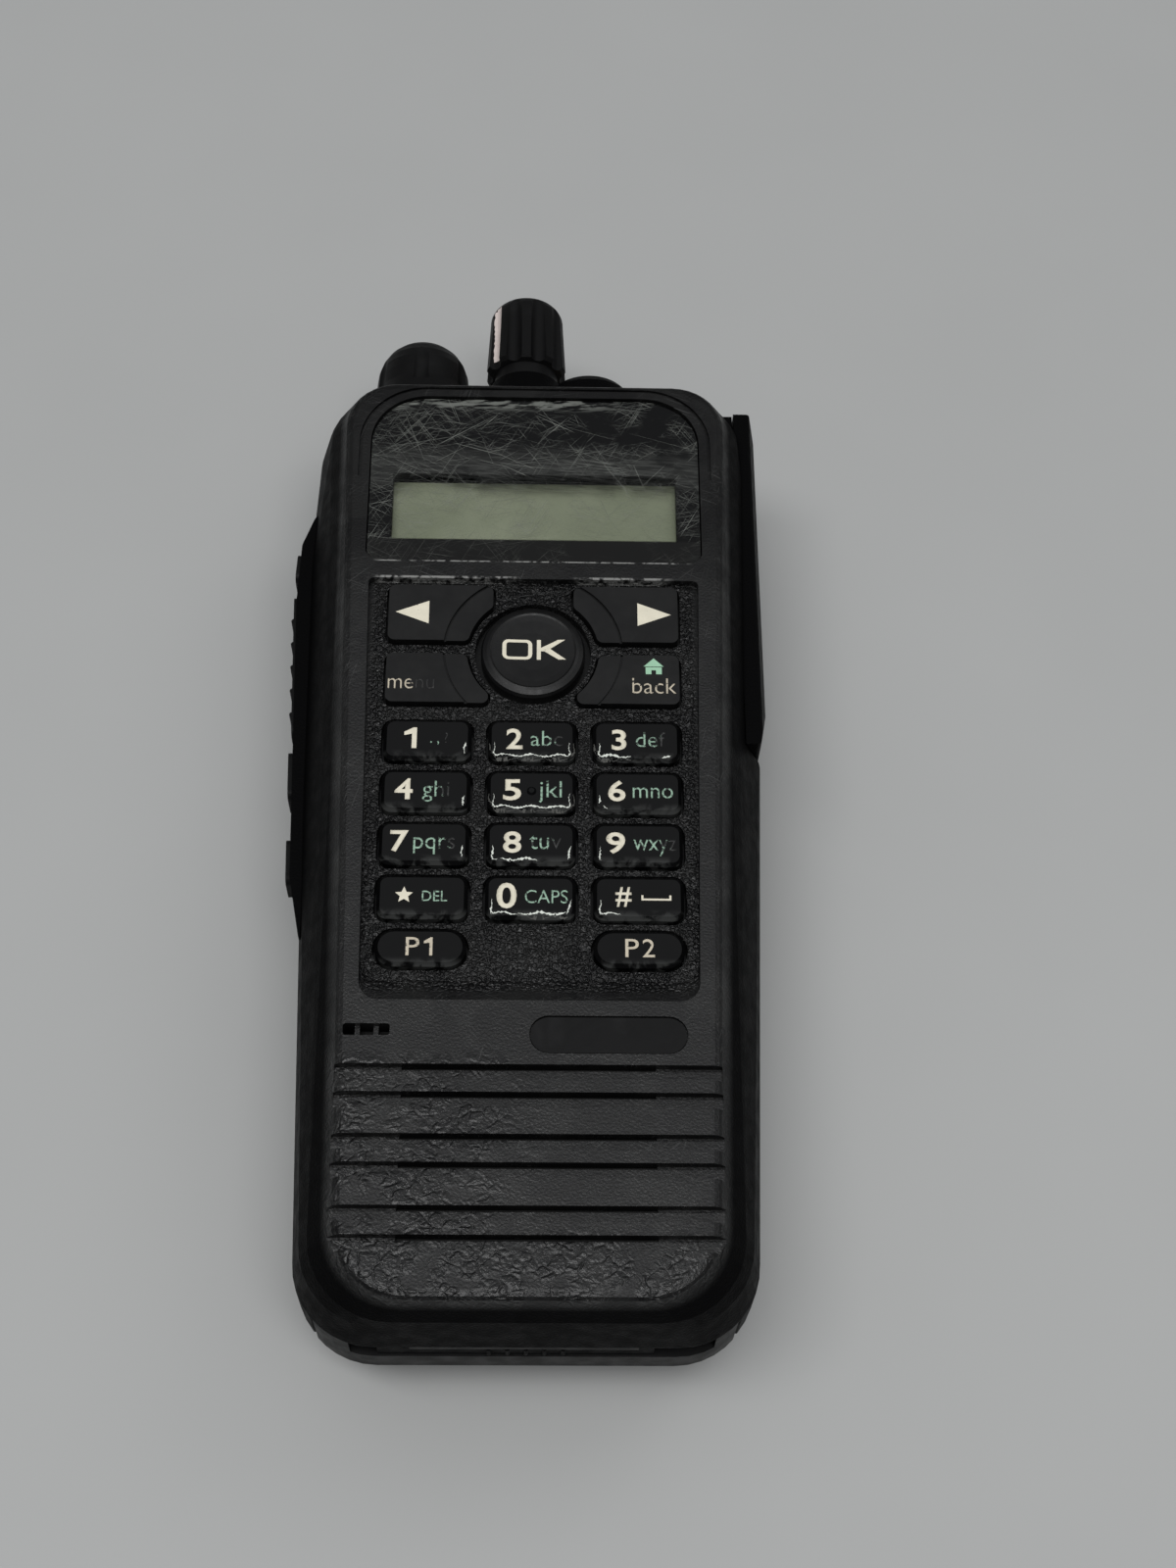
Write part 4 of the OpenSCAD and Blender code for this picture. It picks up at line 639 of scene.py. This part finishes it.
# Key, numeral, its left and right ends, word, its left and right ends, its foot and top
LEGENDS = [
    ("key_1", "1", (-2.95, -1.35), ". , ?", (0.4, 2.6), (-0.8, 1.0)),
    ("key_2", "2", (-3.3, -1.2), "abc", (-0.2, 3.9), (-0.85, 1.35)),
    ("key_3", "3", (-3.2, -1.3), "def", (-0.1, 3.7), (-0.85, 1.35)),
    ("key_4", "4", (-3.9, -1.6), "ghi", (-0.4, 3.0), (-1.65, 1.35)),
    ("key_5", "5", (-3.6, -1.3), "jkl", (0.9, 3.8), (-1.65, 1.45)),
    ("key_6", "6", (-3.7, -1.5), "mno", (-0.6, 4.5), (-0.85, 0.65)),
    ("key_7", "7", (-4.2, -1.9), "pqrs", (-1.3, 3.9), (-1.65, 0.7)),
    ("key_8", "8", (-3.5, -1.2), "tuv", (-0.2, 3.8), (-0.8, 1.1)),
    ("key_9", "9", (-4.0, -1.6), "wxyz", (-0.6, 4.8), (-1.65, 0.65)),
    ("key_0", "0", (-4.2, -1.7), "CAPS", (-0.7, 4.6), (-0.85, 0.95)),
]
FADED = ("key_1", "key_2", "key_3", "key_4", "key_7", "key_8", "key_9")
NUMERAL_ENDS = (-1.35, 1.65)
ZERO_ENDS = (-1.6, 1.9)
SPACE_MARK = [(0.3, 0.35), (0.3, -0.35), (4.0, -0.35), (4.0, 0.35), (3.75, 0.35), (3.75, -0.1),
              (0.55, -0.1), (0.55, 0.35)]

# Across the radio, from its middle
ARROW_BASE = 13.7
ARROW_TIP = 18.1
MENU_WORD = (-18.7, -12.7)
BACK_WORD = (12.9, 18.6)
HOME_MIDDLE = 15.7


def placed(points, x, y):
    """Points moved from round the origin to round (x, y)."""
    return [(x + a, y + b) for a, b in points]


def ends(centre, limits):
    """Two limits, moved from round 0 to round the centre."""
    return (centre + limits[0], centre + limits[1])


def number_legends():
    """Numerals and words on the number keys, then a star with DEL, and a hash with a space mark."""
    for key, numeral, numeral_x, word, word_x, word_y in LEGENDS:
        x, y = middle(key)
        box = ends(x, numeral_x), ends(y, ZERO_ENDS if numeral == "0" else NUMERAL_ENDS)
        mark = one(*box, stroke=0.62) if numeral == "1" else letters(numeral, *box, bold=0.02)
        lay(key, "numeral", mark, cream)
        mark = letters(word, ends(x, word_x), ends(y, word_y), bold=-0.004)
        lay(key, "word", mark, green_faded if key in FADED else green)
    x, y = middle("key_star")
    lay("key_star", "mark", shape(star(x - 2.2, y + 0.1, 1.15)), cream)
    lay("key_star", "word", letters("DEL", ends(x, (0, 3.1)), ends(y, (-0.7, 0.7))), green)
    x, y = middle("key_hash")
    lay("key_hash", "mark", letters("#", ends(x, (-2.9, -0.9)), ends(y, (-1.25, 1.45)), bold=0.012), cream)
    lay("key_hash", "space", shape(placed(SPACE_MARK, x, y)), cream)


def pill_legends():
    """P1 and P2 on the two programmable keys."""
    for key in ("key_p1", "key_p2"):
        x, y = middle(key)
        up = ends(y, (-1.15, 1.25))
        lay(key, "letter", letters("P", ends(x, (-1.75, -0.1)), up), thin_cream)
        if key == "key_p1":
            numeral = one(ends(x, (0.45, 1.5)), up, stroke=0.36)
        else:
            numeral = letters("2", ends(x, (0.35, 1.85)), up)
        lay(key, "numeral", numeral, thin_cream)


def arrow_legends():
    """An arrow on each of the left and right keys."""
    for key, side in (("key_left", -1), ("key_right", 1)):
        y = middle(key)[1]
        base = side * ARROW_BASE
        lay(key, "arrow", shape([(base, y + 1.75), (base, y - 1.75), (side * ARROW_TIP, y)]), cream)


def word_legends():
    """Menu, and back with a small house over it."""
    y = middle("key_menu")[1]
    menu = letters("menu", MENU_WORD, ends(y, (-1.75, -0.25)), bold=-0.008)
    lay("key_menu", "word", menu, thin_cream_faded)
    y = middle("key_back")[1]
    back = letters("back", BACK_WORD, ends(y, (-2.1, 0.2)), bold=-0.008)
    lay("key_back", "word", back, thin_cream)
    roof = [(-1.3, 0), (1.3, 0), (0, 1.25)]
    walls = [(-1.05, -0.1), (-1.05, -1.15), (-0.3, -1.15), (-0.3, -0.55), (0.3, -0.55), (0.3, -1.15),
             (1.05, -1.15), (1.05, -0.1)]
    house = [placed(outline, HOME_MIDDLE, y + 1.95) for outline in (roof, walls)]
    lay("key_back", "home", shape(*house), home_green)


def ok_legend():
    """OK in wide letters with square shoulders."""
    x, y = middle("key_ok")
    bar = 0.52
    width, height = 3.9, 3.0
    outer = rounded(width, height, 0.8, x - 2.05, y + 0.25)
    inner = rounded(width - 2 * bar, height - 1.6 * bar, 0.35, x - 2.05, y + 0.25)
    lay("key_ok", "o", ring(outer, inner), cream)
    foot, top = -1.25, 1.75
    stem = [(0, foot), (bar, foot), (bar, top), (0, top)]
    upper = [(bar, 0.05), (bar + 0.65, 0.05), (3.7, top), (2.75, top), (bar, 0.55)]
    lower = [(bar + 0.1, 0.3), (2.85, foot), (3.8, foot), (bar + 1.0, 0.6)]
    strokes = [placed(outline, x + 0.5, y) for outline in (stem, upper, lower)]
    lay("key_ok", "k", shape(*strokes), cream)


number_legends()
pill_legends()
arrow_legends()
word_legends()
ok_legend()

# ---------- wear and painted highlights on the keys' lower edges ---

# Key, then stretches of the lower edge from -1, left, to 1, right, and how wide the pale line, painted
# highlight and partly wear, is there
WEAR_AND_GLINTS = {
    "key_1": [(0.70, 1.0, 0.30)],
    "key_2": [(-1.0, 1.0, 0.34)],
    "key_3": [(-1.0, -0.1, 0.50), (0.42, 0.60, 0.35)],
    "key_4": [(0.68, 0.95, 0.35)],
    "key_5": [(-1.0, 1.0, 0.34)],
    "key_6": [(-0.98, -0.80, 0.30), (-0.62, -0.5, 0.2)],
    "key_7": [(0.72, 1.0, 0.30)],
    "key_8": [(-1.0, -0.55, 0.32), (-0.5, 0.1, 0.55), (0.66, 1.0, 0.32)],
    "key_9": [(-1.0, -0.66, 0.32)],
    "key_0": [(-1.0, -0.2, 0.38), (-0.2, 0.62, 0.5), (0.62, 1.0, 0.34)],
    "key_hash": [(-1.0, -0.3, 0.34)],
}
LONG_STRETCH = 0.8
SHEEN_BAND_WIDTH = 0.5
STEPS_PER_UNIT = 46
FEWEST_STEPS = 8

# The flange round a key's face, the radius of the face's corners, and how far up its sides the wear goes
KEY_FLANGE = 0.6
KEY_CORNER = 1.5
KEY_SIDE = 1.1


def edge_point(key, t, inset):
    """A point inside the lower edge of a key's face: t goes from -1 on the left side to 1 on the right."""
    low, high = millimetres(key)
    x = middle(key)[0]
    half = (high[0] - low[0]) / 2 - KEY_FLANGE
    foot = low[1] + KEY_FLANGE
    flat = half - KEY_CORNER
    quarter = KEY_CORNER * math.pi / 2
    s = abs(t) * (flat + quarter + KEY_SIDE)
    sign = 1 if t >= 0 else -1
    if s < flat:
        return x + sign * s, foot + inset
    if s < flat + quarter:
        a = (s - flat) / KEY_CORNER
        reach = KEY_CORNER - inset
        return x + sign * (flat + reach * math.sin(a)), foot + KEY_CORNER - reach * math.cos(a)
    return x + sign * (half - inset), foot + KEY_CORNER + s - flat - quarter


def edge_strip(key, stretches, rng, inset, spread):
    """Irregular strips that far inside the lower edge of a key. spread: how much their width varies."""
    bm = bmesh.new()
    for t0, t1, width in stretches:
        count = max(FEWEST_STEPS, int((t1 - t0) * STEPS_PER_UNIT))
        rows = []
        for i in range(count + 1):
            t = t0 + (t1 - t0) * i / count
            taper = 0.15 + 0.8 * min(1, 4 * i / count, 4 * (count - i) / count)
            half = width * taper * rng.uniform(1 - spread, 1.0) / 2
            wave = 0.16 * math.sin(3.1 * t + 40 * inset + 0.23 * i)
            centre = inset + wave + rng.uniform(-0.06, 0.08)
            sides = [edge_point(key, t, centre + d) for d in (-half, half)]
            rows.append([bm.verts.new((x * MM, y * MM, 0)) for x, y in sides])
        for a, b in zip(rows, rows[1:]):
            bm.faces.new([a[0], b[0], b[1], a[1]])
    return bm


def key_wear_and_glints():
    """A broken pale line along each lower edge, a painted highlight and partly wear, and a grey band
    outside it, a painted reflection, where the line is long.
    """
    rng = random.Random(7)
    for key, stretches in WEAR_AND_GLINTS.items():
        # Pale lines: painted highlights on the lower edges, partly wear
        line = edge_strip(key, stretches, rng, inset=0.72, spread=0.85)
        lay(key, "wear", line, wear_and_glint_paint, thick=0.008)
        wide = [(t0, t1, SHEEN_BAND_WIDTH) for t0, t1, width in stretches if t1 - t0 > LONG_STRETCH]
        # Grey bands: a painted reflection on the lower bevels, partly wear
        if wide:
            band = edge_strip(key, wide, rng, inset=0.34, spread=0.25)
            lay(key, "rubbed", band, wear_and_sheen_grey, lift=0.006, thick=0.008)


key_wear_and_glints()

# ---------- pointer line on the channel knob ----------

POINTER_TURN = math.radians(-54)
POINTER_ROWS = 24
STRIPS_EACH_SIDE = 2

# In millimetres: how far the line starts below the knob's end, its length, each strip's width, its lift
# over the knob, and how far from the knob's axis the rays that find the surface start
POINTER_START = 0.6
POINTER_LENGTH = 10.6
STRIP_WIDTH = 0.42
POINTER_LIFT = 0.03
RAY_START = 20


def pointer_line():
    """A rubbed painted line down one lobe of the channel knob."""
    low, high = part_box("channel_knob")
    axis = Vector(((low[0] + high[0]) / 2, 0, (low[2] + high[2]) / 2))
    out = Vector((math.sin(POINTER_TURN), 0, math.cos(POINTER_TURN)))
    across = Vector((out.z, 0, -out.x))
    rng = random.Random(3)
    bm = bmesh.new()
    rows = []
    for i in range(POINTER_ROWS + 1):
        y = high[1] - (POINTER_START + POINTER_LENGTH * i / POINTER_ROWS) * MM
        row = []
        for k in range(-STRIPS_EACH_SIDE, STRIPS_EACH_SIDE + 1):
            offset = k * (STRIP_WIDTH + rng.uniform(-0.04, 0.03)) * MM
            start = axis + Vector((0, y, 0)) + RAY_START * MM * out + offset * across
            row.append(bm.verts.new(hit("channel_knob", start, -out) + POINTER_LIFT * MM * out))
        rows.append(row)
    for a, b in zip(rows, rows[1:]):
        for k in range(2 * STRIPS_EACH_SIDE):
            bm.faces.new([a[k], a[k + 1], b[k + 1], b[k]])
    add_piece("channel_pointer", bm, "channel_control", pointer_paint)


pointer_line()

# ---------- studio, in metres ----------

FLOOR_HALF = 3


def add_floor():
    """A plain pale floor under the radio."""
    bm = bmesh.new()
    bmesh.ops.create_grid(bm, x_segments=1, y_segments=1, size=FLOOR_HALF)
    mesh = bpy.data.meshes.new("floor")
    bm.to_mesh(mesh)
    bm.free()
    obj = bpy.data.objects.new("floor", mesh)
    obj.location.z = cad_box[0][2]
    s = Shader("floor_pale", Roughness=0.6)
    s.set("Base Color", s.mix(s.noise(60, detail=3), (0.44, 0.445, 0.44), (0.48, 0.485, 0.48)))
    mesh.materials.append(s.material)
    scene.collection.objects.link(obj)


def add_lamp(name, place, size, power):
    """A rectangular lamp that faces the radio."""
    data = bpy.data.lights.new(name, "AREA")
    data.shape = "RECTANGLE"
    data.size, data.size_y = size
    data.energy = power
    obj = bpy.data.objects.new(name, data)
    obj.location = place
    obj.rotation_euler = (-Vector(place)).to_track_quat("-Z", "Y").to_euler()
    scene.collection.objects.link(obj)


def add_world():
    """A dim room: brightest overhead, and nearly dark from about 20 degrees over the horizon downwards."""
    world = bpy.data.worlds.new("studio")
    scene.world = world
    world.use_nodes = True
    nodes = world.node_tree.nodes
    links = world.node_tree.links
    background = nodes["Background"]
    background.inputs["Color"].default_value = (0.96, 0.98, 1.0, 1)
    direction = nodes.new("ShaderNodeTexCoord")
    split = nodes.new("ShaderNodeSeparateXYZ")
    links.new(direction.outputs["Generated"], split.inputs[0])
    strength = nodes.new("ShaderNodeMapRange")
    strength.interpolation_type = "SMOOTHSTEP"
    for key, number in (("From Min", 0.35), ("From Max", 1.0), ("To Min", 0.05), ("To Max", 0.60)):
        strength.inputs[key].default_value = number
    links.new(split.outputs["Z"], strength.inputs["Value"])
    links.new(strength.outputs["Result"], background.inputs["Strength"])


add_floor()
add_world()
add_lamp("key_lamp", (-0.1, -0.25, 1.2), (1.2, 0.3), 8)
add_lamp("fill_lamp", (0.7, 0.5, 1.0), (0.5, 0.5), 1)

scene.view_settings.view_transform = "Standard"
